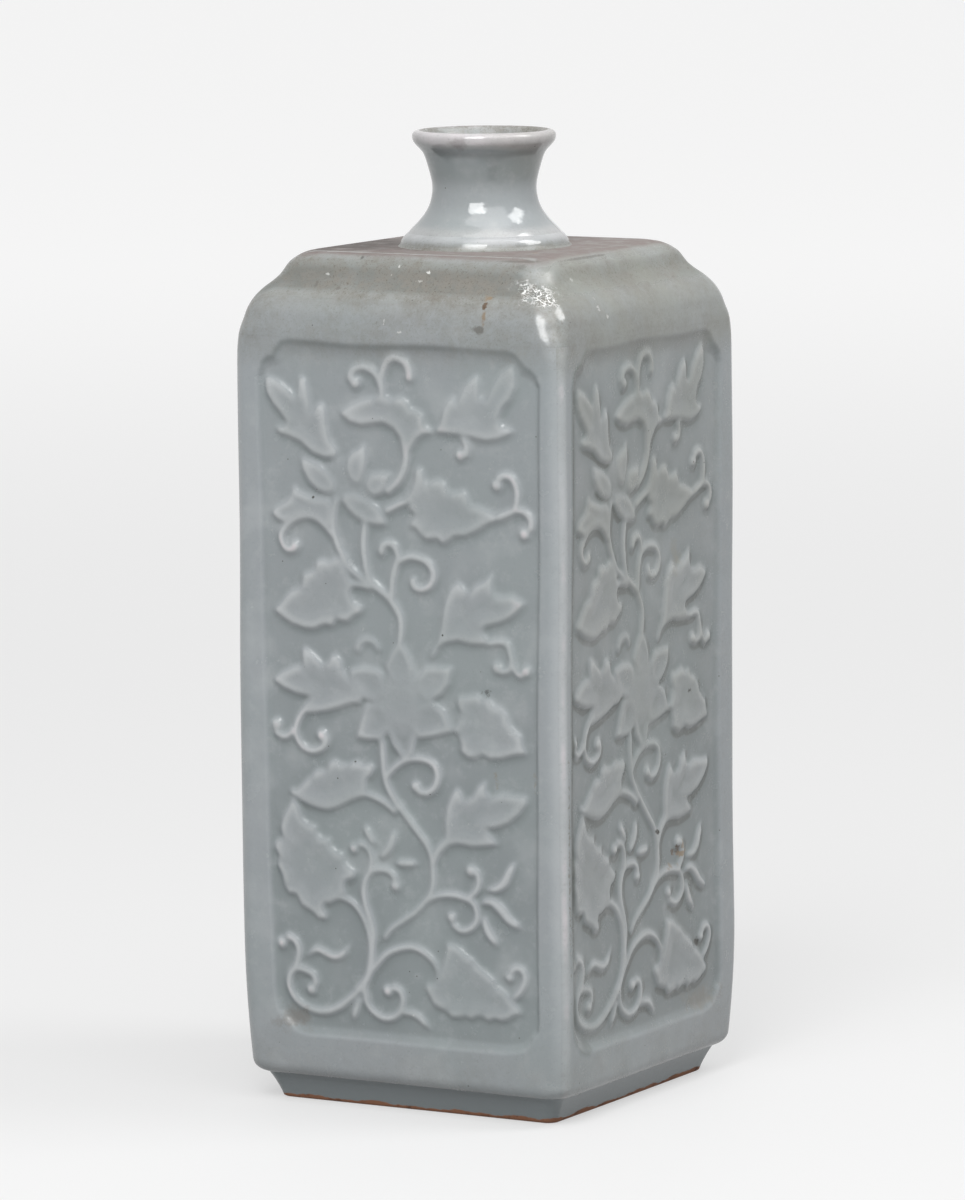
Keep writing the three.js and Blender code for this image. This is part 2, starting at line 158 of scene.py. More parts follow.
def lies_inside(x: Array, z: Array, outline: Array) -> Array:
    """Return, for each place, whether it lies inside a closed outline.

    Args:
        x: places across.
        z: heights.
        outline: the outline's corners, in order.

    Returns:
        True for each place that lies inside.
    """
    result = np.zeros(x.shape, bool)
    for start, end in zip(outline, np.roll(outline, -1, axis=0)):
        if start[1] == end[1]:
            continue
        crosses = (start[1] > z) != (end[1] > z)
        reach = start[0] + (z - start[1]) / (end[1] - start[1]) * (end[0] - start[0])
        result ^= crosses & (x < reach)
    return result


def depth_inside(x: Array, z: Array, outline: Array) -> Array:
    """Return how deep each place lies inside a closed outline, negative outside it."""
    distance, _ = distance_to_line(x, z, outline, closed=True)
    return np.where(lies_inside(x, z, outline), distance, -distance)


def blurred(field_values: Array, sigma: float, step: float) -> Array:
    """Soften a height map as a layer of glaze does.

    Args:
        field_values: the heights on a square grid.
        sigma: the softening's reach in millimetres.
        step: the grid's spacing in millimetres.

    Returns:
        The softened heights.
    """
    reach = math.ceil(3 * sigma / step)
    weights = np.exp(-0.5 * (np.arange(-reach, reach + 1) * step / sigma) ** 2)
    weights /= weights.sum()
    padded = np.pad(field_values, reach, mode="edge")
    height, width = field_values.shape
    rows = sum(w * padded[:, i : i + width] for i, w in enumerate(weights))
    return sum(w * rows[i : i + height] for i, w in enumerate(weights))


# The ornament on the panels


@dataclass(frozen=True)
class Leaf:
    """A leaf or petal: a closed outline with a raised rim and a dished middle, in millimetres."""

    name: str
    outline: tuple[Point, ...]
    creases: tuple[tuple[Point, ...], ...] = ()
    height: float = 0.98
    dish: float = 0.36
    dish_width: float = 6.0
    rounding: float = 1.1
    crease_depth: float = 0.2

    def reach(self) -> Array:
        """Return the points that bound the leaf."""
        return np.asarray(self.outline, float)

    def heights(self, x: Array, z: Array) -> Array:
        """Return the leaf's height over the panel's bed at each place.

        Args:
            x: places across.
            z: heights.

        Returns:
            The heights, 0 outside the leaf.
        """
        depth = depth_inside(x, z, self.reach())
        rise = np.clip(depth / self.rounding, 0.0, 1.0)
        top = self.height * np.sqrt(1.0 - (1.0 - rise) ** 2)
        top -= self.dish * rising(depth, 0.5, self.dish_width)
        for crease in self.creases:
            distance, share = distance_to_line(x, z, curve_through(crease), closed=False)
            top -= self.crease_depth * (1 - share) * np.exp(-((distance / 0.9) ** 2))
        return np.where(depth > 0, np.clip(top, 0.05, None), 0.0)


@dataclass(frozen=True)
class Tendril:
    """A stem, curl or leaflet: a flat-topped ridge along a path, which may end in a bud, in millimetres."""

    name: str
    path: tuple[Point, ...]
    width: float = 2.2
    end_width: float = 2.0
    bud: Point | None = None
    bud_radius: float = 1.6
    height: float = 0.98
    swell: float = 0.0

    def reach(self) -> Array:
        """Return the points that bound the tendril."""
        return np.asarray(self.path, float)

    def heights(self, x: Array, z: Array) -> Array:
        """Return the tendril's height over the panel's bed at each place.

        Args:
            x: places across.
            z: heights.

        Returns:
            The heights, 0 beside the tendril.
        """
        distance, share = distance_to_line(x, z, curve_through(self.path), closed=False)
        width = self.width + (self.end_width - self.width) * share + self.swell * np.sin(math.pi * share)
        half = np.clip(0.5 * width, 0.1, None)
        ridge = np.sqrt(np.clip(1.0 - (distance / half) ** 2.6, 0.0, None)) * np.clip(half / 0.8, 0.0, 1.0)
        if self.bud is not None:
            spread = np.hypot(x - self.bud[0], z - self.bud[1]) / self.bud_radius
            ridge = np.maximum(ridge, 1.1 * np.sqrt(np.clip(1.0 - spread**3, 0.0, None)))
        return self.height * ridge


LEAVES = (
    Leaf("crown_leaf", (
        (-17, 195.5), (-13.5, 198), (-10, 199.7), (-6, 200.8), (-3, 201.5), (0, 200.6), (3, 201),
        (5, 199.8), (6, 198), (8.5, 197.5), (9.8, 196), (10.3, 193.5), (13, 192), (12.5, 191), (10, 190.8),
        (8, 189.5), (6.5, 187.5), (5.3, 185.5), (5, 182.5), (2.8, 182.5), (2.6, 186), (2, 189.5), (0, 192),
        (-3, 193.3), (-6, 193), (-10, 192.3), (-14, 193.2)),
        creases=(((0, 200.4), (1, 196)), ((8.4, 197.2), (5.5, 193.5)), ((-6, 200.4), (-3, 196)))),
    Leaf("top_right_leaf", (
        (13.5, 192.5), (15, 194.5), (16, 198), (17.5, 200.5), (19.5, 201.8), (20.5, 200.5), (22, 203),
        (24, 206), (26.8, 208), (27.8, 205.5), (28, 202.5), (29.5, 201.5), (31.5, 205), (34, 208.5),
        (38, 211.3), (39.2, 209), (39.2, 205), (37.5, 201.5), (35, 199), (34, 196.5), (34.5, 194.5),
        (38.5, 193), (36, 191.5), (33, 190.3), (29.5, 189.8), (26, 190.3), (22, 191), (17, 191.3),
        (13.5, 191.5)),
        creases=(((20.5, 200.2), (22.5, 196.5)), ((28.2, 202), (28, 197)), ((34.2, 196), (30, 195)))),
    Leaf("top_left_leaf", (
        (-40, 205), (-36, 203.5), (-33, 201.5), (-31, 200), (-30.5, 201), (-30, 204), (-29, 205.5),
        (-27.5, 203.5), (-26.3, 199), (-25.5, 196), (-24, 197.8), (-22.5, 198), (-21.3, 196), (-21, 192),
        (-20, 188), (-18, 185.5), (-17.5, 184.5), (-19, 183), (-22, 182.8), (-26, 184), (-28, 185.5),
        (-30, 187), (-33, 188), (-36.5, 189), (-38, 190.5), (-35, 191.2), (-34.5, 192.5), (-36, 194.5),
        (-38.5, 197), (-40.5, 200), (-41, 203)),
        creases=(((-31, 199.8), (-29.5, 194)), ((-26, 196), (-25, 191)), ((-35, 192.2), (-29, 191)))),
    Leaf("upper_flower_base", (
        (-22, 180), (-19, 184), (-16, 184), (-14, 180), (-9, 177), (-6, 173), (-8, 170), (-14, 170.5),
        (-20, 171.5), (-24, 173)), height=0.5, dish=0.1, rounding=2.5),
    Leaf("upper_flower_left_petal", (
        (-29.9, 182.8), (-27, 182.4), (-23.5, 181.3), (-20.5, 179.3), (-18.2, 176.5), (-18.5, 173.8),
        (-21.5, 172.8), (-24.8, 173.7), (-27.6, 176.2), (-29.5, 179.5)), dish=0.22, dish_width=4.0,
        rounding=1.6),
    Leaf("upper_flower_top_petal", (
        (-9.1, 187.6), (-11.2, 186.2), (-13.4, 185.2), (-15.2, 183.2), (-15.6, 180.5), (-14.8, 177.8),
        (-12.6, 175.8), (-10.2, 176.3), (-8.9, 179.5), (-8.4, 183.8)), dish=0.22, dish_width=4.0,
        rounding=1.6),
    Leaf("upper_flower_right_petal", (
        (-0.4, 179.9), (-5, 180), (-8, 179.4), (-9.8, 177), (-9, 174.2), (-6.4, 172.8), (-3.6, 173.8),
        (-1.9, 176.6)), dish=0.22, dish_width=4.0, rounding=1.6),
    Leaf("upper_flower_low_petal", (
        (-17.4, 171.6), (-15.6, 169.4), (-13, 167.2), (-10, 165.5), (-6, 165.0), (-2.6, 165.4),
        (-3.0, 167.8), (-5.4, 171), (-9, 173), (-13.5, 174.2), (-16.5, 173.8)), dish=0.22, dish_width=4.0,
        rounding=1.6),
    Leaf("left_stub_leaf", (
        (-39.5, 166.5), (-38, 168.5), (-34.5, 170.5), (-33, 172.5), (-32.2, 175), (-31, 173.5), (-29, 173),
        (-25, 172), (-21, 172), (-19.5, 170), (-19.5, 164), (-22, 163.5), (-25, 165.5), (-28, 166.3),
        (-31, 166), (-35, 164), (-37.5, 164.8)),
        creases=(((-32, 171.5), (-27, 169)), ((-36, 167.5), (-30, 168.3)))),
    Leaf("upper_shell_leaf", (
        (6.8, 180.5), (7.7, 182), (9.3, 181), (10, 178.5), (11, 177.8), (13, 178.8), (15, 178.8),
        (16.5, 177.5), (17.5, 175.8), (19.5, 175.7), (22, 176.2), (23.3, 174.5), (24.5, 172.5), (27, 172),
        (29.5, 171), (32, 170), (33, 168.5), (29, 166.8), (26, 165), (22.5, 163.5), (19, 163.3),
        (16.5, 161.5), (15, 161), (13.5, 162.3), (10, 162), (8, 163), (6.5, 165), (4.5, 165.5),
        (5.5, 167.5), (6, 169), (4.5, 170), (4.5, 172.8), (7, 176.5)),
        creases=(((10.2, 178), (13, 173)), ((17.4, 175.6), (17, 171)), ((6.2, 168.5), (12, 169)),
                 ((8.2, 163.2), (12, 167)), ((16, 161.6), (17, 166)), ((24, 173), (22, 169.5)))),
    Leaf("middle_left_leaf", (
        (-39, 139.5), (-37, 141.5), (-35.5, 143.5), (-33.5, 145.5), (-31.5, 146.5), (-30, 147.5),
        (-29.5, 150.5), (-28, 151), (-26, 152), (-25, 154.5), (-23, 155), (-21, 154.5), (-19.5, 155.5),
        (-17.5, 156), (-16, 154.5), (-14.5, 151), (-13, 148), (-14, 146), (-13, 143.8), (-10, 142.5),
        (-11, 140.5), (-13, 139.5), (-15, 137.8), (-18.5, 138), (-20, 136.3), (-22.5, 136.5), (-24, 135.8),
        (-26, 135), (-29, 135), (-33, 136), (-36, 137.5)),
        creases=(((-31, 146.6), (-24, 144.5)), ((-25.5, 152), (-21, 147)), ((-18.5, 138.2), (-19.5, 142)))),
    Leaf("middle_right_leaf", (
        (11, 129), (12, 131.5), (13.5, 134), (14.5, 138), (15, 142), (16, 146), (17.5, 149), (20, 151),
        (22, 149.5), (23.5, 148.8), (25.5, 150.5), (28, 151.5), (31, 153.8), (30.8, 150.5), (31.5, 148.5),
        (34, 147.8), (37, 148.3), (41.3, 146), (39, 143.5), (36.5, 141.5), (33, 140), (29, 139),
        (28, 137.8), (29, 136), (30.5, 134.5), (28, 133.8), (24, 133.8), (20, 134.5), (16.5, 133.8),
        (14, 132.5), (12.5, 130)),
        creases=(((23.5, 148.5), (20.5, 142)), ((31.5, 148), (25, 142)), ((28, 137.8), (23, 139)))),
    Leaf("flower_side_leaf", (
        (-39, 120.5), (-36, 122.8), (-33, 124.3), (-30, 125), (-30, 128), (-29.5, 130), (-27, 129),
        (-24.5, 127), (-23, 126), (-21.5, 126.5), (-20.5, 128.3), (-18.5, 128.5), (-17, 126.5),
        (-16.5, 124.5), (-15, 123), (-12, 120), (-10, 117), (-11.5, 115), (-14, 115), (-18, 113.5),
        (-22, 112.3), (-26, 111.5), (-30.5, 111), (-29, 112.5), (-27.5, 115), (-28, 116), (-32, 116.5),
        (-36, 117.8), (-39, 119.5)),
        creases=(((-30, 124.6), (-25.5, 120)), ((-23, 126), (-21, 120)), ((-27.3, 115.5), (-22, 116.5)))),
    Leaf("flower_seat", (
        (-9, 115.5), (-7.6, 121), (-3.5, 125), (2, 127.2), (7.5, 125.4), (11.8, 121), (12.6, 115.5),
        (11, 110.5), (7, 106.6), (2, 105.2), (-3.6, 106.6), (-7.4, 110.5)), height=0.85, dish=0.0,
        rounding=5.5),
    Leaf("flower_heart", (
        (-5, 113), (-4.8, 119), (-2.4, 122.6), (1.8, 123.6), (6, 122.4), (8.6, 118.6), (8.4, 112.6),
        (5.8, 109), (1.5, 108), (-2.8, 109.4)), height=0.98, dish=0.1, rounding=3.0),
    Leaf("flower_upper_left_petal", (
        (-3.6, 124.6), (-6, 125.6), (-10, 126), (-14.9, 124.9), (-14.6, 121.6), (-13, 118.8),
        (-10.8, 116.7), (-6, 115.5), (-3, 119)), dish=0.34, dish_width=3.5),
    Leaf("flower_upper_right_petal", (
        (15, 119.4), (17.3, 122.4), (18.3, 127.2), (14, 127.4), (9.6, 127), (6.5, 123.5), (7, 119),
        (10.5, 116.6)), dish=0.34, dish_width=3.5),
    Leaf("flower_lower_left_petal", (
        (-9.6, 115.6), (-11.4, 110.8), (-12.9, 105.6), (-9, 105.2), (-4.4, 105.5), (-2, 108.4), (-1, 112),
        (-4.5, 116.5)), dish=0.34, dish_width=3.5),
    Leaf("flower_lower_right_petal", (
        (7.2, 106.6), (12, 107.5), (18.3, 109.2), (17.2, 112.4), (15.8, 115.6), (11, 118), (6, 115.5),
        (4.5, 110.5)), dish=0.34, dish_width=3.5),
    Leaf("flower_bottom_petal", (
        (-3.2, 109.6), (-1.6, 104.4), (2.2, 99.9), (5.6, 102.6), (7.2, 108.6), (5, 112), (-1, 112)),
        creases=(((2.4, 102.5), (2.6, 109)),), dish=0.45, dish_width=2.6, crease_depth=0.2),
    Leaf("flower_top_petal", (
        (-3.4, 126), (-1.6, 130), (1.5, 134.6), (4.6, 130.4), (6.4, 126), (4, 121.5), (-1, 121.5)),
        dish=0.35, dish_width=2.6, rounding=1.3),
    Leaf("right_shell_leaf", (
        (19.5, 117.5), (20, 119.5), (22, 119.5), (24, 120), (26, 120.3), (28, 119.3), (30, 119.3),
        (31.5, 117.5), (34, 117), (35.5, 115), (36.5, 112.5), (38.5, 110.5), (40, 109.5), (40.5, 106.5),
        (41.5, 104.5), (37.5, 103.8), (34, 102.7), (30, 102.3), (27.5, 103.3), (25, 102), (22.5, 102.5),
        (20.5, 104), (20.5, 106), (19.5, 108.5), (17.5, 110), (19.5, 112), (20.5, 114.5)),
        creases=(((20.5, 114.5), (25, 113)), ((20, 108.5), (26, 110)), ((25, 102.4), (28, 107)),
                 ((28, 118.8), (28, 113)), ((34, 116.5), (32, 111)))),
    Leaf("flag_leaf", (
        (-33.8, 89), (-31.5, 90.5), (-29.5, 92.5), (-27.5, 94.5), (-25.5, 96), (-23, 96), (-22, 98),
        (-20, 99.3), (-18, 98.3), (-15.5, 98.5), (-13, 99.3), (-10.5, 98.5), (-8.5, 99), (-7, 97.5),
        (-8, 95.5), (-9.5, 94), (-9.5, 91), (-10, 90), (-14, 89), (-18, 87), (-22, 85.5), (-26, 85.8),
        (-30, 87)),
        creases=(((-22.6, 96.4), (-22, 91.5)), ((-15.6, 98.2), (-16.5, 93)), ((-27.5, 94), (-26, 90)))),
    Leaf("lower_right_leaf", (
        (12, 75.5), (14, 78), (15, 80.5), (15, 84), (15.5, 88), (17, 91.5), (19, 94), (20.5, 92.5),
        (21.5, 91), (24, 92), (25.5, 94.5), (28.3, 96.5), (28.5, 93.5), (30, 92.5), (33, 93.3), (37, 93),
        (41.3, 92.8), (41.3, 90.5), (39, 87.5), (35.5, 84.8), (31.5, 83.3), (28.8, 82.8), (30, 81),
        (32, 78.8), (28, 78), (24, 77.5), (19, 78), (16.5, 77.3), (14, 75), (12.5, 72)),
        creases=(((21.8, 91), (20.5, 85)), ((29.8, 92.3), (24, 86)), ((28.5, 82.8), (22, 82.5)))),
    Leaf("big_left_leaf", (
        (-33.5, 87.5), (-31.5, 85), (-30.5, 82), (-28.5, 80.5), (-26, 80), (-25.8, 78.5), (-24.5, 77),
        (-21.5, 76.5), (-21.3, 75), (-19.5, 73.5), (-17.3, 72.8), (-16.8, 71), (-15.5, 69.5), (-13.3, 68),
        (-14, 66), (-16.5, 65), (-17, 63.5), (-16.5, 61.5), (-21, 59.5), (-23.5, 58), (-24, 56.5),
        (-23, 55), (-23.3, 53.5), (-26, 53.5), (-27.5, 55), (-29.5, 56), (-31.5, 57), (-33, 59.8),
        (-35.5, 60), (-37, 62), (-37.5, 65), (-39, 67.5), (-38.5, 70.5), (-39.8, 72.5), (-39.5, 74.5),
        (-37.3, 75.8), (-37.8, 78.5), (-37, 81.5), (-35, 85)),
        creases=(((-25.8, 78.6), (-30, 73)), ((-21.4, 75), (-28, 69)), ((-17, 71), (-25, 65)),
                 ((-37, 75.6), (-33, 72)), ((-38, 69.5), (-33, 67)), ((-37, 62.5), (-31, 62.5)))),
    Leaf("low_shell_leaf", (
        (15, 49.5), (15.5, 50.3), (18, 50), (20, 49), (21.5, 47.5), (24, 46.5), (25.5, 44.5), (28, 43),
        (30, 41.5), (31.5, 39.5), (34, 38), (36, 35.5), (38, 33.5), (38.5, 32), (36, 31), (34.5, 30),
        (32, 29.3), (30, 29.8), (28, 28.9), (26, 29.8), (24.5, 30), (22.5, 29), (20.5, 29.5), (18.5, 29),
        (16, 29), (14.5, 30.5), (12.5, 31.3), (10.5, 32), (9.5, 34), (8, 36.5), (8.5, 38), (10, 38.5),
        (12, 39.5), (13, 42), (14, 45), (15, 48)),
        creases=(((10.5, 38), (17, 38.5)), ((14.6, 31), (19, 36)), ((20.5, 29.8), (22, 35)),
                 ((26, 30), (25.5, 34)), ((24, 46), (21, 41)), ((31, 40), (27, 37)))),
)

TENDRILS = (
    Tendril("crown_right_curl", ((-3.2, 201), (-3.3, 206), (-1.5, 210.3), (1, 211.6), (4, 210.6),
            (5.4, 208.3), (5.5, 206.3)), 2.2, 2.6),
    Tendril("crown_left_curl", ((-3.5, 203.5), (-5, 206.5), (-7.5, 208.2), (-10, 208.5), (-12.5, 207.3),
            (-13.3, 205.3)), 2.0, 2.2, (-11.8, 204.2), 1.7),
    Tendril("crown_stem", ((4, 188), (4, 184), (3, 180.5), (1, 177.5), (-2, 175)), 2.5, 2.5),
    Tendril("leaf_hook", ((22.5, 190), (23.3, 188), (23, 186)), 2.0, 2.0, (21.3, 185.8), 1.6),
    Tendril("stub_curl", ((-20, 162), (-22, 164), (-25, 166), (-28, 166.5), (-31, 165.8), (-34, 164),
            (-36.3, 161), (-36, 158.5), (-34.5, 157), (-32.5, 157)), 1.8, 2.0, (-32, 158), 1.4),
    Tendril("flower_left_stem", ((-18.5, 171.5), (-19.3, 168), (-19.5, 163), (-18, 158.5), (-16.5, 156),
            (-14, 152.5), (-10, 150), (-8, 148.5)), 2.0, 2.2),
    Tendril("flower_right_stem", ((-9.5, 165), (-10, 160), (-9.5, 155), (-8.5, 151), (-6, 148)), 2.0, 2.4),
    Tendril("main_stem_top", ((-6, 148.3), (-2, 145.5), (0, 143), (1.7, 140), (2, 137), (1.8, 134.6),
            (1.6, 133.4)), 2.4, 1.8),
    Tendril("curl_pair_stalk", ((-1, 146), (-0.8, 150), (0, 153.5), (1, 156)), 2.0, 2.0),
    Tendril("curl_pair_left", ((1, 156), (1, 157), (0, 159.5), (-1.7, 160.5), (-3.7, 159.8), (-4.3, 158)),
            1.9, 2.2),
    Tendril("curl_pair_right", ((1, 155.5), (4, 157), (7, 157), (10, 156), (12, 153.5), (12, 151),
            (10.5, 149), (8, 148.3), (6, 149), (5.7, 150.5)), 1.9, 2.0),
    Tendril("shell_leaf_stem", ((-2.5, 169.5), (1, 171.2), (4.5, 172.8), (7, 176.5), (7.8, 180.5)),
            2.0, 2.0),
    Tendril("double_curl_up", ((33, 169.3), (36, 170.5), (38, 171.5), (38.8, 174), (38.8, 177),
            (37.5, 179.8), (35.5, 180.8), (33.3, 180)), 2.0, 2.0, (32.5, 178), 1.6),
    Tendril("double_curl_down", ((38, 171.5), (41, 171), (43, 169), (43, 166.5)), 1.8, 1.9, (41, 165), 1.7),
    Tendril("middle_leaf_branch", ((-8, 148), (-11, 148.5), (-14, 148.5), (-16, 149)), 2.0, 1.6),
    Tendril("right_leaf_tendril", ((30, 134.5), (33, 135), (35.5, 134.5), (36.5, 132), (37, 129.5),
            (36, 127.3), (33.5, 126.8)), 1.8, 1.8, (32.5, 127.8), 1.6),
    Tendril("right_leaf_tendril_end", ((37, 129.5), (38.5, 126.8), (40, 126)), 1.8, 1.8, (41.5, 127.3),
            1.6),
    Tendril("faint_curl", ((-5.5, 131.2), (-6.8, 132.8), (-9, 133.4), (-11.2, 132.4), (-12, 130.8)),
            1.7, 2.6, height=0.6),
    Tendril("side_leaf_curl", ((-27, 115), (-29.5, 112), (-31.5, 109), (-32.3, 106), (-31.5, 103.5),
            (-29.5, 101.5), (-26.5, 101), (-23.5, 102.3), (-22.5, 104.5)), 1.9, 2.0, (-23.8, 105.5), 1.8),
    Tendril("side_leaf_curl_end", ((-33, 106.5), (-34.5, 104.8), (-36.5, 104.3), (-38.5, 105.3)), 1.8, 2.0,
            (-38.3, 107.5), 1.8),
    Tendril("flag_stem", ((-33.5, 88.8), (-30, 87), (-26, 85.8), (-22, 85.5), (-18, 87), (-14, 89),
            (-10, 90), (-6, 89), (-3, 87.5), (-1, 86)), 1.6, 2.0),
    Tendril("main_stem", ((-4.5, 105), (-4.3, 100), (-3.8, 95), (-2.5, 91.5), (0, 88), (3, 84.5),
            (6.5, 80.5), (9.5, 77), (11, 73), (11.3, 69), (11, 65), (9, 61.5), (5.5, 58), (1, 55),
            (-2.5, 52.5), (-4.5, 50)), 2.3, 1.4),
    Tendril("main_stem_curl", ((-3.5, 95), (-1.5, 97.5), (1.5, 99.8), (5, 101), (9, 101), (12, 99.5),
            (13, 96.5), (12, 93.5), (9.5, 91.8), (7, 92)), 1.7, 2.0, (6, 93.3), 1.5),
    Tendril("leaf_branch", ((11.2, 72), (12.5, 75.5), (14.5, 78)), 2.2, 2.2),
    Tendril("big_leaf_stem", ((-22.5, 58.8), (-19, 60.3), (-15.5, 59.5), (-12.5, 57), (-10, 52.5), (-9, 47),
            (-9.5, 42), (-10.5, 38), (-12, 35)), 1.6, 2.4),
    Tendril("trunk", ((-13.5, 34.5), (-10.5, 38), (-9, 42), (-8.5, 47), (-8, 51), (-9, 55), (-10.5, 59),
            (-11, 63), (-10, 66.5), (-8, 68.7), (-5, 69.3), (-2.5, 68.7), (-0.8, 67)), 2.6, 1.9, (-0.8, 65),
            1.5),
    Tendril("trunk_hook", ((-9, 68.5), (-8.3, 71), (-8.7, 73.5), (-10, 75.3), (-12, 76)), 1.9, 1.9,
            (-14, 74.5), 1.5),
    Tendril("bud_left", ((-10.8, 81.5), (-9.2, 78.6), (-6.9, 75.3)), 0.6, 0.2, swell=1.9),
    Tendril("bud_middle", ((-1, 81), (-1.6, 78), (-2.8, 75.4), (-4.8, 73)), 0.3, 1.6, swell=1.6),
    Tendril("bud_right", ((-1, 71.4), (2.5, 71.6), (6.9, 71.7)), 0.6, 0.1, swell=1.9),
    Tendril("left_scroll", ((-12, 35.5), (-16, 32), (-20, 29), (-25, 27.2), (-30, 27.8), (-34, 30),
            (-36, 33.5), (-35.5, 37), (-33.5, 38.8), (-30.5, 38.5), (-28, 37.3), (-27.3, 35)), 2.4, 2.0,
            (-28.8, 33.3), 1.7),
    Tendril("left_scroll_branch", ((-34.5, 38), (-33, 41), (-32.5, 44), (-33.5, 46.5), (-35.8, 47.8)),
            2.0, 2.2, (-38, 45.8), 1.7),
    Tendril("left_leaflet", ((-30.5, 42.5), (-28.5, 43.8), (-26.3, 44.8), (-24, 44), (-21, 43.2),
            (-18.2, 44.3), (-15.3, 48.3)), 0.6, 0.2, swell=1.9),
    Tendril("root_bud", ((-13.3, 31.5), (-14.4, 29), (-15.9, 25)), 1.4, 0.1, swell=1.5),
    Tendril("small_scroll", ((-11.5, 34.5), (-11, 31), (-9, 28.5), (-5.5, 27), (-2, 27.8), (0, 29.8),
            (0.8, 32.5), (0, 35), (-2, 36)), 2.0, 2.0, (-4, 35), 1.7),
    Tendril("small_scroll_tail", ((0, 29), (3, 29.2), (5.4, 28.4), (7.4, 26.6), (9.8, 24.6)), 1.2, 0.2,
            swell=1.4),
    Tendril("arch", ((-12, 36), (-10, 39), (-7, 42.5), (-4, 45.5), (0, 47.3), (4, 48), (7.5, 47),
            (10.5, 44.8), (12.3, 42), (12.3, 39.5)), 2.2, 1.4),
    Tendril("low_leaf_curl", ((36.5, 36.5), (38.5, 38.5), (40, 41.5), (39.3, 44), (37.3, 44.8),
            (35.8, 43.8)), 1.8, 1.8, (35, 42), 1.3),
    Tendril("right_scroll", ((9, 61.5), (12, 63), (16, 63.8), (20, 63.5), (23.5, 62.3), (25, 60), (25, 57),
            (23, 54.8), (20, 54), (17.7, 55.3)), 1.8, 1.8, (17, 57.5), 1.3),
    Tendril("right_scroll_branch", ((22.5, 63.3), (25, 65.5), (25.8, 68.5), (25, 70.8)), 1.7, 1.8,
            (23.3, 71), 1.6),
    Tendril("spray_top", ((27.6, 66.2), (31, 66.4), (33.8, 68.3), (35.4, 71.2), (37.8, 75.2)), 0.6, 0.1,
            swell=2.4),
    Tendril("spray_middle", ((25.8, 62), (29.5, 62.8), (32.5, 61), (35.6, 57.8), (39.8, 55.7)), 0.6, 0.1,
            swell=2.8),
    Tendril("spray_low", ((27.2, 59.3), (27.8, 56), (29.4, 52.9), (32, 50.2)), 0.5, 0.1, swell=2.3),
)


class Ornament:
    """The mould's scrolling flowers as a map of heights over the panel's bed."""

    def __init__(self, step: float = 0.2, softening: float = 0.55) -> None:
        """Work out the maps of height and of how far each place stands out.

        Args:
            step: the map's spacing in millimetres.
            softening: how far the glaze rounds the carving, in millimetres.
        """
        self.step = step
        self.low = np.array([-52.0, 8.0])
        high = np.array([52.0, 217.0])
        counts = np.ceil((high - self.low) / step).astype(int) + 1
        self.xs = self.low[0] + step * np.arange(counts[0])
        self.zs = self.low[1] + step * np.arange(counts[1])
        bed = np.zeros((counts[1], counts[0]))
        for motif in (*LEAVES, *TENDRILS):
            self._raise_motif(bed, motif)
        self._let_glaze_run(bed)
        self.heights = blurred(bed, softening, step)
        close = self.heights - blurred(bed, 1.1, step)
        middle = self.heights - blurred(bed, 2.2, step)
        wide = self.heights - blurred(bed, 4.5, step)
        self.relief = 0.35 * close + 0.85 * middle + 0.5 * wide
        self.climb, self.slant = np.gradient(blurred(bed, 0.9, step), step)

    def _let_glaze_run(self, bed: Array, slope: float = 0.6) -> None:
        """Fill the upper side of the relief, where the glaze ran down against it.

        Args:
            bed: the map of heights, which is changed.
            slope: the steepest fall that the glaze leaves on an upper side.
        """
        fall = slope * self.step
        for row in range(1, len(bed)):
            below = bed[row - 1]
            aside = np.maximum(np.roll(below, 1), np.roll(below, -1)) - math.sqrt(2) * fall
            bed[row] = np.maximum(bed[row], np.maximum(below - fall, aside))

    def _raise_motif(self, bed: Array, motif: Leaf | Tendril) -> None:
        """Add one motif to the map, where it stands higher than what is there.

        Args:
            bed: the map so far.
            motif: what is added.
        """
        margin = 3.0
        bounds = motif.reach()
        first, last = bounds.min(axis=0) - margin, bounds.max(axis=0) + margin
        columns = slice(*np.searchsorted(self.xs, [first[0], last[0]]))
        rows = slice(*np.searchsorted(self.zs, [first[1], last[1]]))
        x, z = np.meshgrid(self.xs[columns], self.zs[rows])
        bed[rows, columns] = np.maximum(bed[rows, columns], motif.heights(x, z))

    def sample(self, values: Array, x: Array, z: Array) -> Array:
        """Read a map between its points.

        Args:
            values: one of the ornament's maps.
            x: places across the mould, in millimetres.
            z: places up the mould, in millimetres.

        Returns:
            The map's value at each place.
        """
        column = np.clip((x - self.low[0]) / self.step, 0, len(self.xs) - 1.001)
        row = np.clip((z - self.low[1]) / self.step, 0, len(self.zs) - 1.001)
        i, j = column.astype(int), row.astype(int)
        u, v = column - i, row - j
        below = values[j, i] * (1 - u) + values[j, i + 1] * u
        above = values[j + 1, i] * (1 - u) + values[j + 1, i + 1] * u
        return below * (1 - v) + above * v


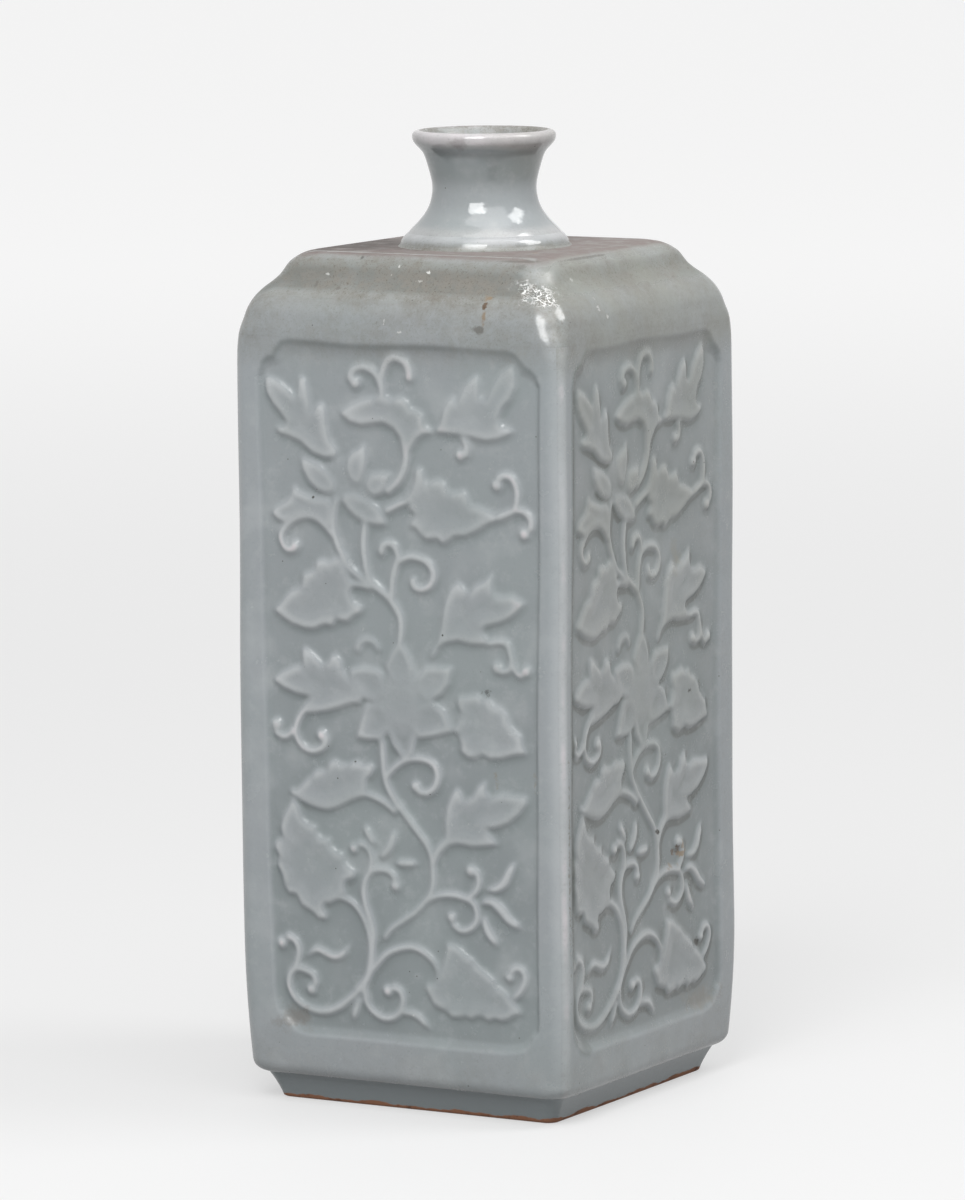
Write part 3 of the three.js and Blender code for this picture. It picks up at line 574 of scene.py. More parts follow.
@dataclass(frozen=True)
class Pressing:
    """How one wall came out of the mould: where its panel and its flowers lie, in millimetres."""

    left_top: float = -43.3
    left_foot: float = -40.8
    right_top: float = 45.6
    right_foot: float = 43.6
    top: float = 214.2
    foot: float = 20.5
    shift: float = 0.0
    shift_upward: float = 0.0
    stretch: float = 1.0
    stretch_upward: float = 0.0
    drop: float = 0.0
    drop_upward: float = 0.0
    drawn: float = 0.47
    sag: float = 0.3
    tilt: float = 0.0

    def panel_outline(self) -> Array:
        """Return the sunken panel's outline, with its cut and cusped corners.

        Returns:
            The outline's corners, in order.
        """
        left_foot, right_foot = self.left_foot, self.right_foot
        left_top, right_top = self.left_top, self.right_top
        foot, top = self.foot, self.top
        return np.array([
            (left_foot, foot + 13.0), (left_foot + 0.4, foot + 8.9), (left_foot + 1.3, foot + 5.9),
            (left_foot + 2.8, foot + 3.5), (left_foot + 4.9, foot + 1.6), (left_foot + 7.0, foot + 0.6),
            (left_foot + 10.0, foot), (right_foot - 10.6, foot), (right_foot - 7.0, foot + 0.5),
            (right_foot - 4.5, foot + 1.4), (right_foot - 2.8, foot + 3.0), (right_foot - 1.7, foot + 5.0),
            (right_foot - 0.3, foot + 6.4), (right_foot, foot + 9.0),
            (right_top - 0.1, top - 9.6), (right_top - 0.8, top - 7.0), (right_top - 2.2, top - 5.4),
            (right_top - 4.2, top - 4.2), (right_top - 5.6, top - 2.6), (right_top - 6.8, top - 1.2),
            (right_top - 8.6, top - 0.3), (right_top - 10.4, top), (left_top + 9.8, top),
            (left_top + 7.4, top - 0.6), (left_top + 5.8, top - 2.2), (left_top + 4.6, top - 4.2),
            (left_top + 2.4, top - 5.0), (left_top + 1.2, top - 6.2), (left_top, top - 10.0),
        ])

    def mould_place(self, x: Array, z: Array, form: BodyForm) -> tuple[Array, Array]:
        """Find the place on the mould that pressed each place on the wall.

        Args:
            x: places across the wall.
            z: places up the wall.
            form: the body, whose hollow walls draw the pattern sideways.

        Returns:
            The places across and up the mould.
        """
        share = (z - 115.0) / 100.0
        across = (x - self.shift - self.shift_upward * share) / (self.stretch + self.stretch_upward * share)
        pull = self.drawn * (form.bow_at(across, z) - 0.8)
        down = self.drop + self.drop_upward * share + self.sag * form.bow_at(x, z) + self.tilt * x / 50.0
        return across + pull, z + down


# The body's form


def front_quarter(station: Array, half: Array, radius: Array) -> tuple[Array, Array, Array]:
    """Place points along the front quarter of a rounded square.

    Args:
        station: from -1 at the left mitre to 1 at the right one; the flat part ends at FLAT_SHARE.
        half: half the square's width there.
        radius: its corners' radius there.

    Returns:
        The x and y of each place, and the angle that the edge has turned through.
    """
    size = np.abs(station)
    along = np.clip(size / FLAT_SHARE, 0, 1) * (half - radius)
    angle = np.clip((size - FLAT_SHARE) / (1 - FLAT_SHARE), 0, 1) * math.pi / 4
    x = np.sign(station) * (along + radius * np.sin(angle))
    y = -half + radius * (1 - np.cos(angle))
    return x, y, angle


@dataclass(frozen=True)
class BodyForm:
    """The outer form that walls and shoulder share, in millimetres."""

    half: float
    bottom: float
    wall_top: float
    deck: float
    edge_radius: float = 4.5
    edge_softening: float = 0.35
    edge_swell: float = 3.4
    panel_depth: float = 1.35
    bow: float = 1.6
    lean: float = 1.45
    lean_height: float = 38.0
    under_width: float = 2.4
    under_height: float = 3.4

    def inset_at(self, z: Array) -> Array:
        """Return how far the walls stand in near their foot: a slow lean and a rounding underneath.

        Args:
            z: heights.

        Returns:
            The inset at each height.
        """
        rise = z - self.bottom
        lean = np.clip(1 - rise / self.lean_height, 0, 1) ** 2
        under = np.clip(1 - rise / self.under_height, 0, 1)
        return self.lean * lean + self.under_width * (1 - np.sqrt(1 - under**2))

    def bow_at(self, x: Array, z: Array) -> Array:
        """Return how far the walls sag inwards between their edges."""
        rise = np.clip((z - self.bottom) / (self.wall_top - self.bottom), 0, 1)
        ends = smoothstep(rise / 0.35) * smoothstep((1 - rise) / 0.35)
        return self.bow * np.clip(1 - (x / 47.0) ** 2, 0, 1) * ends

    def unevenness(self, places: Array) -> Array:
        """Return how far each place strays from the true form, as handmade walls do.

        Args:
            places: rows of x, y and z.

        Returns:
            The stray of each place, outwards.
        """
        x, y, z = places.T
        stray_x = 0.2 * np.sin(z / 27 + 0.7) + 0.1 * np.sin(z / 11 + y / 19 + 2.1)
        stray_y = 0.2 * np.sin(z / 33 + 2.9) + 0.1 * np.sin(z / 13 + x / 17 + 0.4)
        return np.column_stack([stray_x, stray_y, np.zeros_like(z)])

    def ogee(self, count: int = 56) -> Array:
        """Return the shoulder's ogee, as rows of height and inset.

        Args:
            count: how many rows.

        Returns:
            The rows, from the walls to the deck.
        """
        section = ((0, 0), (1.7, 0.1), (3.4, 0.35), (6.4, 0.95), (8.4, 1.75), (10.4, 2.95), (12.4, 4.6),
                   (13.4, 5.6), (14.4, 6.65), (15.4, 7.55), (16.4, 8.3), (17.9, 9.1), (19.4, 9.9),
                   (20.4, 10.75), (21.4, 11.9), (22.2, 13.3), (22.6, 14.8))
        line = curve_through(section, 0.6)
        steps = np.linspace(0, len(line) - 1, count)
        rise = np.interp(steps, np.arange(len(line)), line[:, 0])
        inset = np.interp(steps, np.arange(len(line)), line[:, 1])
        return np.column_stack([self.wall_top + np.clip(rise, 0, self.deck - self.wall_top), inset])

    def radius_at(self, inset: Array, z: Array) -> Array:
        """Return the upright edges' radius, which is fuller just over the walls."""
        swell = self.edge_swell * np.exp(-(((z - self.wall_top - 6.2) / 6.5) ** 2))
        return self.edge_radius + self.edge_softening * inset + swell

    def quarter_plan(self, station: Array, z: Array) -> tuple[Array, Array, Array, Array]:
        """Place points round the quarter of the plan that the front wall takes.

        Args:
            station: from -1 at the left mitre to 1 at the right one.
            z: their heights.

        Returns:
            The x and y of each place, and the x and y of the way out there.
        """
        inset = self.inset_at(z)
        x, y, angle = front_quarter(station, self.half - inset, self.radius_at(inset, z))
        return x, y, np.sign(station) * np.sin(angle), -np.cos(angle)


# Mesh making


def activate(piece: bpy.types.Object) -> None:
    """Make a piece the only selected and active object."""
    bpy.ops.object.select_all(action="DESELECT")
    piece.select_set(True)
    bpy.context.view_layer.objects.active = piece


def new_sheet(name: str, columns: int, rows: int) -> bpy.types.Object:
    """Add a flat sheet of quads to be shaped.

    Args:
        name: the piece's name.
        columns: how many quads lie across.
        rows: how many quads lie up.

    Returns:
        The sheet; its vertices run row by row, from the lowest row's left end.
    """
    bpy.ops.object.select_all(action="DESELECT")
    bpy.ops.mesh.primitive_grid_add(x_subdivisions=columns, y_subdivisions=rows, size=1.0, calc_uvs=False)
    sheet = bpy.context.object
    sheet.name = name
    sheet.data.name = name
    return sheet


def set_places(mesh: bpy.types.Mesh, places: Array) -> None:
    """Move all of a mesh's vertices, given in millimetres."""
    mesh.vertices.foreach_set("co", (np.asarray(places, float) * MM).astype(np.float32).ravel())
    mesh.update()


def get_places(mesh: bpy.types.Mesh) -> Array:
    """Return the places of a mesh's vertices in millimetres."""
    flat = np.empty(len(mesh.vertices) * 3, np.float32)
    mesh.vertices.foreach_get("co", flat)
    return flat.reshape(-1, 3).astype(float) / MM


def write_attribute(mesh: bpy.types.Mesh, name: str, values: Array) -> None:
    """Write one number for each vertex under a name that materials can read."""
    layer = mesh.attributes.get(name) or mesh.attributes.new(name, "FLOAT", "POINT")
    layer.data.foreach_set("value", np.asarray(values, np.float32))


def read_attribute(mesh: bpy.types.Mesh, name: str) -> Array:
    """Return the number that each vertex holds under a name."""
    values = np.empty(len(mesh.vertices), np.float32)
    mesh.attributes[name].data.foreach_get("value", values)
    return values.astype(float)


def face_outwards(piece: bpy.types.Object) -> None:
    """Turn every face of a closed piece outwards and shade it smooth, apart from its sharp edges.

    Args:
        piece: the closed piece.
    """
    activate(piece)
    bpy.ops.object.mode_set(mode="EDIT")
    bpy.ops.mesh.select_all(action="SELECT")
    bpy.ops.mesh.normals_make_consistent(inside=False)
    bpy.ops.mesh.select_all(action="DESELECT")
    bpy.ops.object.mode_set(mode="OBJECT")
    bpy.ops.object.shade_smooth()


def turned_places(places: Array, turn: float) -> Array:
    """Return places turned about the vase's axis by an angle in degrees.

    Args:
        places: rows of x, y and z.
        turn: the angle.

    Returns:
        The turned rows.
    """
    angle = math.radians(turn)
    cosine, sine = math.cos(angle), math.sin(angle)
    x = cosine * places[:, 0] - sine * places[:, 1]
    y = sine * places[:, 0] + cosine * places[:, 1]
    return np.column_stack([x, y, places[:, 2]])


# Materials


class Finish(Enum):
    """The record's material slots."""

    BODY = "celadon_glaze"
    NECK = "neck_glaze"
    FOOT = "foot_rim"


class Nodes:
    """A short way to lay out a material's nodes."""

    def __init__(self, name: str) -> None:
        """Start a material that holds only a Principled shader and its output.

        Args:
            name: the material's name.
        """
        self.material = bpy.data.materials.new(name)
        self.material.use_nodes = True
        self.tree = self.material.node_tree
        self.shader = self.tree.nodes["Principled BSDF"]
        self.place = self.tree.nodes.new("ShaderNodeTexCoord").outputs["Object"]

    def link(self, source: Socket, target: Socket) -> None:
        """Join an output to an input."""
        self.tree.links.new(source, target)

    def feed(self, source: object, target: Socket) -> None:
        """Give an input a socket, a number or a colour.

        Args:
            source: what is given.
            target: the input.
        """
        if isinstance(source, bpy.types.NodeSocket):
            self.link(source, target)
        elif isinstance(source, tuple) and len(source) == 3 and target.type == "RGBA":
            target.default_value = (*source, 1.0)
        else:
            target.default_value = source

    def noise(self, scale: float, detail: float = 3.0, roughness: float = 0.55,
              stretch: Triple = (1.0, 1.0, 1.0)) -> Socket:
        """Return a noise over the piece; the scale counts features per metre.

        Args:
            scale: features per metre.
            detail: how many finer layers it has.
            roughness: how strong the finer layers are.
            stretch: how much denser it is along x, y and z.

        Returns:
            The noise, from 0 to 1.
        """
        node = self.tree.nodes.new("ShaderNodeTexNoise")
        node.inputs["Scale"].default_value = scale
        node.inputs["Detail"].default_value = detail
        node.inputs["Roughness"].default_value = roughness
        if stretch == (1.0, 1.0, 1.0):
            self.link(self.place, node.inputs["Vector"])
        else:
            mapping = self.tree.nodes.new("ShaderNodeMapping")
            mapping.inputs["Scale"].default_value = stretch
            self.link(self.place, mapping.inputs["Vector"])
            self.link(mapping.outputs["Vector"], node.inputs["Vector"])
        return node.outputs["Fac"]

    def ramp(self, value: Socket, low: float, high: float, start: float = 0.0, end: float = 1.0) -> Socket:
        """Return a value that goes from start to end as another goes from low to high.

        Args:
            value: the value that is followed.
            low: where the ramp starts.
            high: where it ends.
            start: what it gives at low.
            end: what it gives at high.

        Returns:
            The ramp's socket.
        """
        node = self.tree.nodes.new("ShaderNodeMapRange")
        node.interpolation_type = "SMOOTHSTEP"
        node.inputs["From Min"].default_value = low
        node.inputs["From Max"].default_value = high
        node.inputs["To Min"].default_value = start
        node.inputs["To Max"].default_value = end
        self.link(value, node.inputs["Value"])
        return node.outputs["Result"]

    def mixed(self, share: Socket, first: object, second: object) -> Socket:
        """Return a colour mixed from two colours or colour sockets.

        Args:
            share: the second colour's share.
            first: a colour.
            second: another.

        Returns:
            The mixed colour's socket.
        """
        node = self.tree.nodes.new("ShaderNodeMix")
        node.data_type = "RGBA"
        self.link(share, node.inputs["Factor"])
        self.feed(first, node.inputs["A"])
        self.feed(second, node.inputs["B"])
        return node.outputs["Result"]

    def math(self, operation: str, first: object, second: object = 0.0) -> Socket:
        """Return the result of a sum on two values or value sockets.

        Args:
            operation: the sum's kind.
            first: a value.
            second: another.

        Returns:
            The result's socket.
        """
        node = self.tree.nodes.new("ShaderNodeMath")
        node.operation = operation
        self.feed(first, node.inputs[0])
        self.feed(second, node.inputs[1])
        return node.outputs["Value"]

    def attribute(self, name: str) -> Socket:
        """Return the number that each vertex holds under a name."""
        node = self.tree.nodes.new("ShaderNodeAttribute")
        node.attribute_name = name
        return node.outputs["Fac"]

    def height(self) -> Socket:
        """Return the height over the floor in metres."""
        node = self.tree.nodes.new("ShaderNodeSeparateXYZ")
        self.link(self.place, node.inputs["Vector"])
        return node.outputs["Z"]

    def upward(self) -> Socket:
        """Return how far the surface faces up, from -1 to 1.

        Returns:
            The slope's socket.
        """
        geometry = self.tree.nodes.new("ShaderNodeNewGeometry")
        node = self.tree.nodes.new("ShaderNodeSeparateXYZ")
        self.link(geometry.outputs["Normal"], node.inputs["Vector"])
        return node.outputs["Z"]

    def specks(self, scale: float, size: float, share: float) -> Socket:
        """Return a mask of scattered round specks.

        Args:
            scale: cells per metre.
            size: a speck's radius as a share of a cell.
            share: the share of cells that hold one.

        Returns:
            The mask, 1 in a speck.
        """
        cells = self.tree.nodes.new("ShaderNodeTexVoronoi")
        cells.inputs["Scale"].default_value = scale
        self.link(self.place, cells.inputs["Vector"])
        chance = self.tree.nodes.new("ShaderNodeSeparateColor")
        self.link(cells.outputs["Color"], chance.inputs["Color"])
        dot = self.ramp(cells.outputs["Distance"], size * 0.5, size, 1.0, 0.0)
        return self.math("MULTIPLY", dot, self.math("LESS_THAN", chance.outputs["Red"], share))

    def filaments(self, scale: float, width: float) -> Socket:
        """Return a mask of fine winding threads.

        Args:
            scale: features per metre.
            width: a thread's width, as a share of the noise's range.

        Returns:
            The mask, 1 in a thread.
        """
        middle = self.math("ABSOLUTE", self.math("SUBTRACT", self.noise(scale, 3.0, 0.5), 0.5))
        return self.ramp(middle, 0.0, width, 1.0, 0.0)

    def patch(self, mark: Mark) -> Socket:
        """Return the mask of one mark, ragged at its edge.

        Args:
            mark: the mark.

        Returns:
            The mask's socket.
        """
        offset = self.tree.nodes.new("ShaderNodeVectorMath")
        offset.operation = "SUBTRACT"
        self.link(self.place, offset.inputs[0])
        offset.inputs[1].default_value = tuple(v * MM for v in mark.centre)
        scaled = self.tree.nodes.new("ShaderNodeVectorMath")
        scaled.operation = "DIVIDE"
        self.link(offset.outputs["Vector"], scaled.inputs[0])
        scaled.inputs[1].default_value = tuple(v * MM for v in mark.reach)
        length = self.tree.nodes.new("ShaderNodeVectorMath")
        length.operation = "LENGTH"
        self.link(scaled.outputs["Vector"], length.inputs[0])
        ragged = self.ramp(self.noise(mark.grain, 5.0, 0.65), 0.25, 0.75, -mark.raggedness, mark.raggedness)
        edge = self.math("ADD", length.outputs["Value"], ragged)
        return self.ramp(edge, 1.0 - mark.softness, 1.0, mark.strength, 0.0)

    def bump(self, height: Socket, distance: float, strength: float = 1.0) -> None:
        """Give the shader a bump whose full height is a distance in metres.

        Args:
            height: the height, from 0 to 1.
            distance: the full height.
            strength: the bump's share.
        """
        node = self.tree.nodes.new("ShaderNodeBump")
        node.inputs["Strength"].default_value = strength
        node.inputs["Distance"].default_value = distance
        self.link(height, node.inputs["Height"])
        self.link(node.outputs["Normal"], self.shader.inputs["Normal"])


@dataclass(frozen=True)
class Mark:
    """One stain, pit or flaw in the glaze, a painted highlight, a painted shade or a darker patch, with
    its centre and reach in millimetres.
    """

    centre: Triple
    reach: Triple
    colour: Triple
    strength: float = 0.8
    softness: float = 0.5
    raggedness: float = 0.3
    grain: float = 400.0


PIT = (0.03, 0.028, 0.022)
RUST = (0.20, 0.135, 0.07)
# Pale chalky flecks, and the colour of one painted highlight.
CHALK_AND_HIGHLIGHT = (0.62, 0.62, 0.60)
# Dirt, and the colour of the painted shade along a fine crease.
DIRT_AND_SHADE = (0.105, 0.10, 0.088)
BODY_MARKS = (
    Mark((-26.7, -51, 171.2), (0.5, 4, 0.5), PIT, 0.9, raggedness=0.1),
    Mark((14.0, -51, 135.0), (0.4, 4, 0.4), PIT, 0.9, raggedness=0.1),
    Mark((27.5, -51, 120.0), (1.6, 4, 1.2), PIT, 0.6, 0.8, 0.8, 900.0),
    Mark((-14.5, -51, 98.0), (0.5, 4, 0.35), PIT, 0.8, raggedness=0.1),
    Mark((-20.0, -51, 93.0), (0.3, 4, 0.3), PIT, 0.8, raggedness=0.1),
    Mark((11.7, -51, 39.3), (0.3, 4, 0.3), PIT, 0.8, raggedness=0.1),
    Mark((30.5, -51, 96.5), (0.9, 4, 3.0), RUST, 0.35, 0.9, 0.7, 500.0),
    Mark((43.0, -51, 96.0), (0.9, 4, 3.2), RUST, 0.35, 0.9, 0.7, 500.0),
    Mark((-34.0, -51, 24.5), (8.0, 6, 5.0), (0.15, 0.125, 0.105), 0.5, 0.95, 0.6, 170.0),
    Mark((27.9, -47.5, 228.0), (1.9, 3, 1.0), RUST, 0.75, 0.8, 0.6, 600.0),
    Mark((27.8, -48.8, 226.2), (0.8, 3, 1.1), (0.09, 0.055, 0.03), 0.95, 0.5, 0.5, 700.0),
    Mark((28.3, -50, 223.2), (0.7, 4, 3.4), RUST, 0.7, 0.8, 0.6, 500.0),
    Mark((27.0, -51, 219.8), (2.3, 4, 1.2), DIRT_AND_SHADE, 0.75, 0.9, 0.7, 400.0),
    Mark((51, 17.6, 67.6), (4, 2.2, 1.4), (0.07, 0.045, 0.025), 0.95, 0.5, 0.8, 500.0),
    Mark((51, 20.5, 66.6), (4, 5.5, 0.9), RUST, 0.7, 0.7, 0.9, 400.0),
    Mark((51, 14.8, 63.8), (4, 3.6, 1.2), RUST, 0.5, 0.8, 0.9, 400.0),
    Mark((51, 7.0, 74.7), (4, 1.3, 0.9), PIT, 1.0, 0.4, 0.4, 500.0),
    Mark((51, 25.9, 112.2), (4, 1.2, 0.8), PIT, 0.9, 0.5, 0.5, 600.0),
    Mark((51, 27.9, 40.1), (4, 1.2, 1.2), PIT, 0.9, 0.5, 0.7, 600.0),
    Mark((51.9, -47.5, 76.0), (1.5, 0.45, 24.0), (0.13, 0.11, 0.07), 0.5, 0.8, 1.4, 900.0),
    # Painted highlight: a glint on the lower corner's rounding.
    Mark((49.2, -51.0, 10.9), (1.0, 1.0, 0.9), CHALK_AND_HIGHLIGHT, 0.5, 0.9, 0.6, 700.0),
    Mark((4.0, -51, 28.3), (0.4, 3, 0.4), CHALK_AND_HIGHLIGHT, 0.5, 0.7, 0.4, 700.0),
    Mark((51, 30.0, 24.0), (4, 12.0, 5.0), (0.2, 0.165, 0.12), 0.4, 1.0, 0.6, 160.0),
    Mark((51, 21.5, 68.5), (4, 1.2, 2.6), RUST, 0.6, 0.6, 0.8, 500.0),
    Mark((51, 19.0, 151.0), (5, 3.6, 6.5), (0.27, 0.235, 0.165), 0.5, 1.0, 0.4, 200.0),
    Mark((0, 0, 238.3), (26.6, 26.6, 1.9), (0.16, 0.125, 0.11), 0.75, 0.3, 0.2, 160.0),
    # Darkens the deck's left part.
    Mark((-34, -12, 238.5), (38, 38, 2.2), (0.07, 0.06, 0.054), 0.8, 0.8, 0.4, 90.0),
    # Painted shade: a dark line along a fine crease on the shoulder, here and in the next mark.
    Mark((40.0, -14.0, 237.05), (6, 17.5, 0.42), DIRT_AND_SHADE, 0.75, 0.7, 0.25, 120.0),
    Mark((33.0, -38.5, 237.5), (9, 6, 0.4), DIRT_AND_SHADE, 0.7, 0.7, 0.3, 120.0),
    Mark((26.9, -18.7, 238.5), (1.3, 1.3, 1.2), (0.24, 0.13, 0.055), 0.8, 0.7, 0.5, 600.0),
    Mark((33.8, -41.2, 236.3), (2.4, 3, 0.9), DIRT_AND_SHADE, 0.6, 0.8, 0.6, 500.0),
    Mark((-16.1, -40.3, 237.1), (0.8, 3, 0.5), PIT, 0.7, 0.6, 0.5, 800.0),
    Mark((-27.6, -45.5, 230.0), (0.6, 3, 1.2), DIRT_AND_SHADE, 0.8, 0.6, 0.5, 800.0),
    Mark((-20.0, -46.5, 229.1), (0.9, 3, 0.6), DIRT_AND_SHADE, 0.7, 0.7, 0.5, 800.0),
    Mark((-11.2, -20.9, 238.6), (0.9, 1.2, 0.5), CHALK_AND_HIGHLIGHT, 0.9, 0.5, 0.8, 900.0),
    Mark((6.5, -42.7, 234.0), (0.7, 3, 0.45), CHALK_AND_HIGHLIGHT, 0.9, 0.7, 0.8, 900.0),
    Mark((-5.0, -43.1, 233.0), (0.4, 3, 0.35), CHALK_AND_HIGHLIGHT, 0.8, 0.7, 0.8, 900.0),
    Mark((-3.2, -41.8, 235.4), (0.25, 3, 0.45), CHALK_AND_HIGHLIGHT, 0.6, 0.7, 0.8, 900.0),
    Mark((4.6, -44.0, 231.6), (0.9, 3, 0.28), CHALK_AND_HIGHLIGHT, 0.55, 0.8, 1.2, 1300.0),
    Mark((-25.2, -43.5, 232.6), (0.7, 3, 0.4), CHALK_AND_HIGHLIGHT, 0.5, 0.8, 0.8, 900.0),
    Mark((-2.7, -51.1, 220.8), (0.3, 3, 0.75), CHALK_AND_HIGHLIGHT, 0.5, 0.8, 1.0, 1100.0),
    Mark((2.3, -51.7, 218.1), (0.7, 3, 0.35), CHALK_AND_HIGHLIGHT, 0.5, 0.7, 0.8, 900.0),
    Mark((50.1, -25.8, 224.5), (1.2, 0.6, 0.8), CHALK_AND_HIGHLIGHT, 0.45, 0.8, 1.3, 1200.0),
    Mark((48.5, -25.1, 226.9), (1.2, 0.5, 0.6), CHALK_AND_HIGHLIGHT, 0.5, 0.8, 1.0, 900.0),
    Mark((43.7, -28.9, 232.2), (1.2, 0.8, 0.5), CHALK_AND_HIGHLIGHT, 0.6, 0.8, 1.0, 900.0),
    Mark((51.1, -22.2, 221.7), (1.5, 0.9, 0.6), CHALK_AND_HIGHLIGHT, 0.5, 0.8, 1.0, 900.0),
)
FROST = Mark((43.6, -45.2, 229.3), (9.0, 6.5, 4.2), (0.85, 0.85, 0.84), 1.0, 0.75, 0.5, 200.0)
NECK_MARKS = (
    Mark((2.5, -20, 267.8), (2.8, 6, 2.4), (0.20, 0.185, 0.18), 0.5, 0.8, 0.5, 300.0),
)


@dataclass(frozen=True)
class CeladonGlaze:
    """A grey-green glaze that pools in hollows, thins over edges and gathers dust on top; its darker
    colours also serve painted shade, and its pale ones painted light and highlights.
    """

    name: str
    # A colour for glaze that pools and for painted shade alike.
    pooled_and_shaded: Triple = (0.185, 0.212, 0.218)
    # Painted shade: the darkest colour, for the strongest shade.
    deepest_shade: Triple = (0.105, 0.12, 0.117)
    common: Triple = (0.285, 0.308, 0.322)
    cloud: Triple = (0.25, 0.287, 0.29)
    thin: Triple = (0.43, 0.45, 0.462)
    thinnest: Triple = (0.585, 0.55, 0.57)
    olive: Triple = (0.25, 0.258, 0.222)
    dust: Triple = (0.178, 0.148, 0.14)
    film: Triple = (0.165, 0.157, 0.138)
    grime: Triple = (0.10, 0.092, 0.07)
    roughness: float = 0.215
    polish: float = 0.07
    refraction: float = 1.57
    dust_from: float = 0.8
    marks: tuple[Mark, ...] = ()
    frost: Mark | None = None

    def material(self) -> bpy.types.Material:
        """Build the material.

        Returns:
            The material.
        """
        nodes = Nodes(self.name)
        relief = nodes.attribute("relief")
        # Below 0 the relief darkens the glaze: pooling and painted shade, then painted shade alone.
        colour = nodes.mixed(nodes.ramp(relief, -0.85, 0.05, 1.0, 0.0), self.common, self.pooled_and_shaded)
        colour = nodes.mixed(nodes.ramp(relief, -1.7, -0.8, 1.0, 0.0), colour, self.deepest_shade)
        colour = nodes.mixed(nodes.ramp(relief, 0.02, 0.8), colour, self.thin)
        bare = nodes.math("ADD", relief, nodes.ramp(nodes.noise(70.0), 0.4, 0.7, -0.15, 0.25))
        colour = nodes.mixed(nodes.ramp(bare, 0.65, 1.3), colour, self.thinnest)
        colour = self._mottle(nodes, colour)
        rough = nodes.ramp(nodes.noise(140.0), 0.3, 0.7, self.roughness - 0.03, self.roughness + 0.06)
        rough = nodes.math("SUBTRACT", rough, nodes.ramp(nodes.height(), 0.211, 0.218, 0.0, self.polish))
        colour, rough = self._age(nodes, colour, rough)
        pits = nodes.math("MULTIPLY", nodes.specks(430.0, 0.11, 0.045), 0.75)
        colour = nodes.mixed(pits, colour, PIT)
        for mark in self.marks:
            colour = nodes.mixed(nodes.patch(mark), colour, mark.colour)
        if self.frost is not None:
            threads = nodes.math("MAXIMUM", nodes.filaments(360.0, 0.045), nodes.filaments(900.0, 0.035))
            frosted = nodes.math("MULTIPLY", nodes.patch(self.frost), threads)
            colour = nodes.mixed(frosted, colour, self.frost.colour)
        nodes.link(colour, nodes.shader.inputs["Base Color"])
        nodes.link(rough, nodes.shader.inputs["Roughness"])
        nodes.shader.inputs["IOR"].default_value = self.refraction
        nodes.bump(nodes.noise(330.0, 3.0), 0.00007)
        return nodes.material

    def _mottle(self, nodes: Nodes, colour: Socket) -> Socket:
        """Vary the glaze with slow warm clouds and fine grey grain.

        Args:
            nodes: the material's nodes.
            colour: the glaze's colour.

        Returns:
            The varied colour.
        """
        clouds = nodes.ramp(nodes.noise(26.0, 4.0), 0.4, 0.7, 0.0, 0.5)
        colour = nodes.mixed(clouds, colour, self.cloud)
        grain = nodes.ramp(nodes.noise(750.0, 4.0, 0.7), 0.5, 0.8, 0.0, 0.2)
        colour = nodes.mixed(grain, colour, self.pooled_and_shaded)
        milky = nodes.ramp(nodes.noise(58.0, 3.0, 0.5), 0.5, 0.74, 0.0, 0.3)
        colour = nodes.mixed(milky, colour, self.thin)
        pale = nodes.ramp(nodes.noise(210.0, 4.0, 0.65), 0.5, 0.75, 0.0, 0.2)
        return nodes.mixed(pale, colour, self.thin)

    def _age(self, nodes: Nodes, colour: Socket, rough: Socket) -> tuple[Socket, Socket]:
        """Lay the olive cast, speckled grime, and dust on what faces up.

        Args:
            nodes: the material's nodes.
            colour: the clean glaze's colour.
            rough: the clean glaze's roughness.

        Returns:
            The aged colour and roughness.
        """
        blotch = nodes.ramp(nodes.noise(50.0, 5.0, 0.6), 0.3, 0.68, 0.45, 1.0)
        cast = nodes.math("MULTIPLY", nodes.attribute("cast"), blotch)
        colour = nodes.mixed(cast, colour, self.olive)
        speckle = nodes.ramp(nodes.noise(1500.0, 5.0, 0.85), 0.52, 0.68, 0.0, 0.9)
        spread = nodes.ramp(nodes.noise(75.0, 5.0, 0.65), 0.32, 0.68, 0.4, 1.0)
        soil = nodes.math("MULTIPLY", nodes.attribute("soil"), spread)
        film = nodes.math("MULTIPLY", soil, nodes.ramp(nodes.noise(420.0, 6.0, 0.8), 0.3, 0.7, 0.26, 0.8))
        colour = nodes.mixed(film, colour, self.film)
        grimy = nodes.math("MULTIPLY", speckle, soil)
        colour = nodes.mixed(grimy, colour, self.grime)
        level = nodes.ramp(nodes.upward(), self.dust_from, 1.0)
        patchy = nodes.ramp(nodes.noise(160.0, 6.0, 0.7), 0.3, 0.62, 0.55, 1.0)
        kept = nodes.ramp(nodes.attribute("relief"), 0.3, 0.8, 1.0, 0.15)
        dusty = nodes.math("MULTIPLY", nodes.math("MULTIPLY", level, patchy), kept)
        colour = nodes.mixed(dusty, colour, self.dust)
        caked = nodes.ramp(nodes.attribute("soil"), 0.9, 1.6, 0.0, 0.3)
        dull = nodes.math("ADD", nodes.math("MULTIPLY", dusty, 0.6), caked)
        return colour, nodes.math("ADD", rough, nodes.math("ADD", dull, nodes.math("MULTIPLY", grimy, 0.3)))


@dataclass(frozen=True)
class BareClay:
    """Unglazed grey clay with a thin dull wash."""

    name: str
    light: Triple
    dark: Triple
    roughness: float = 0.85

    def material(self) -> bpy.types.Material:
        """Build the material.

        Returns:
            The material.
        """
        nodes = Nodes(self.name)
        colour = nodes.mixed(nodes.ramp(nodes.noise(180.0, 6.0, 0.7), 0.3, 0.7), self.dark, self.light)
        nodes.link(colour, nodes.shader.inputs["Base Color"])
        nodes.shader.inputs["Roughness"].default_value = self.roughness
        nodes.bump(nodes.noise(900.0, 6.0, 0.7), 0.00015)
        return nodes.material


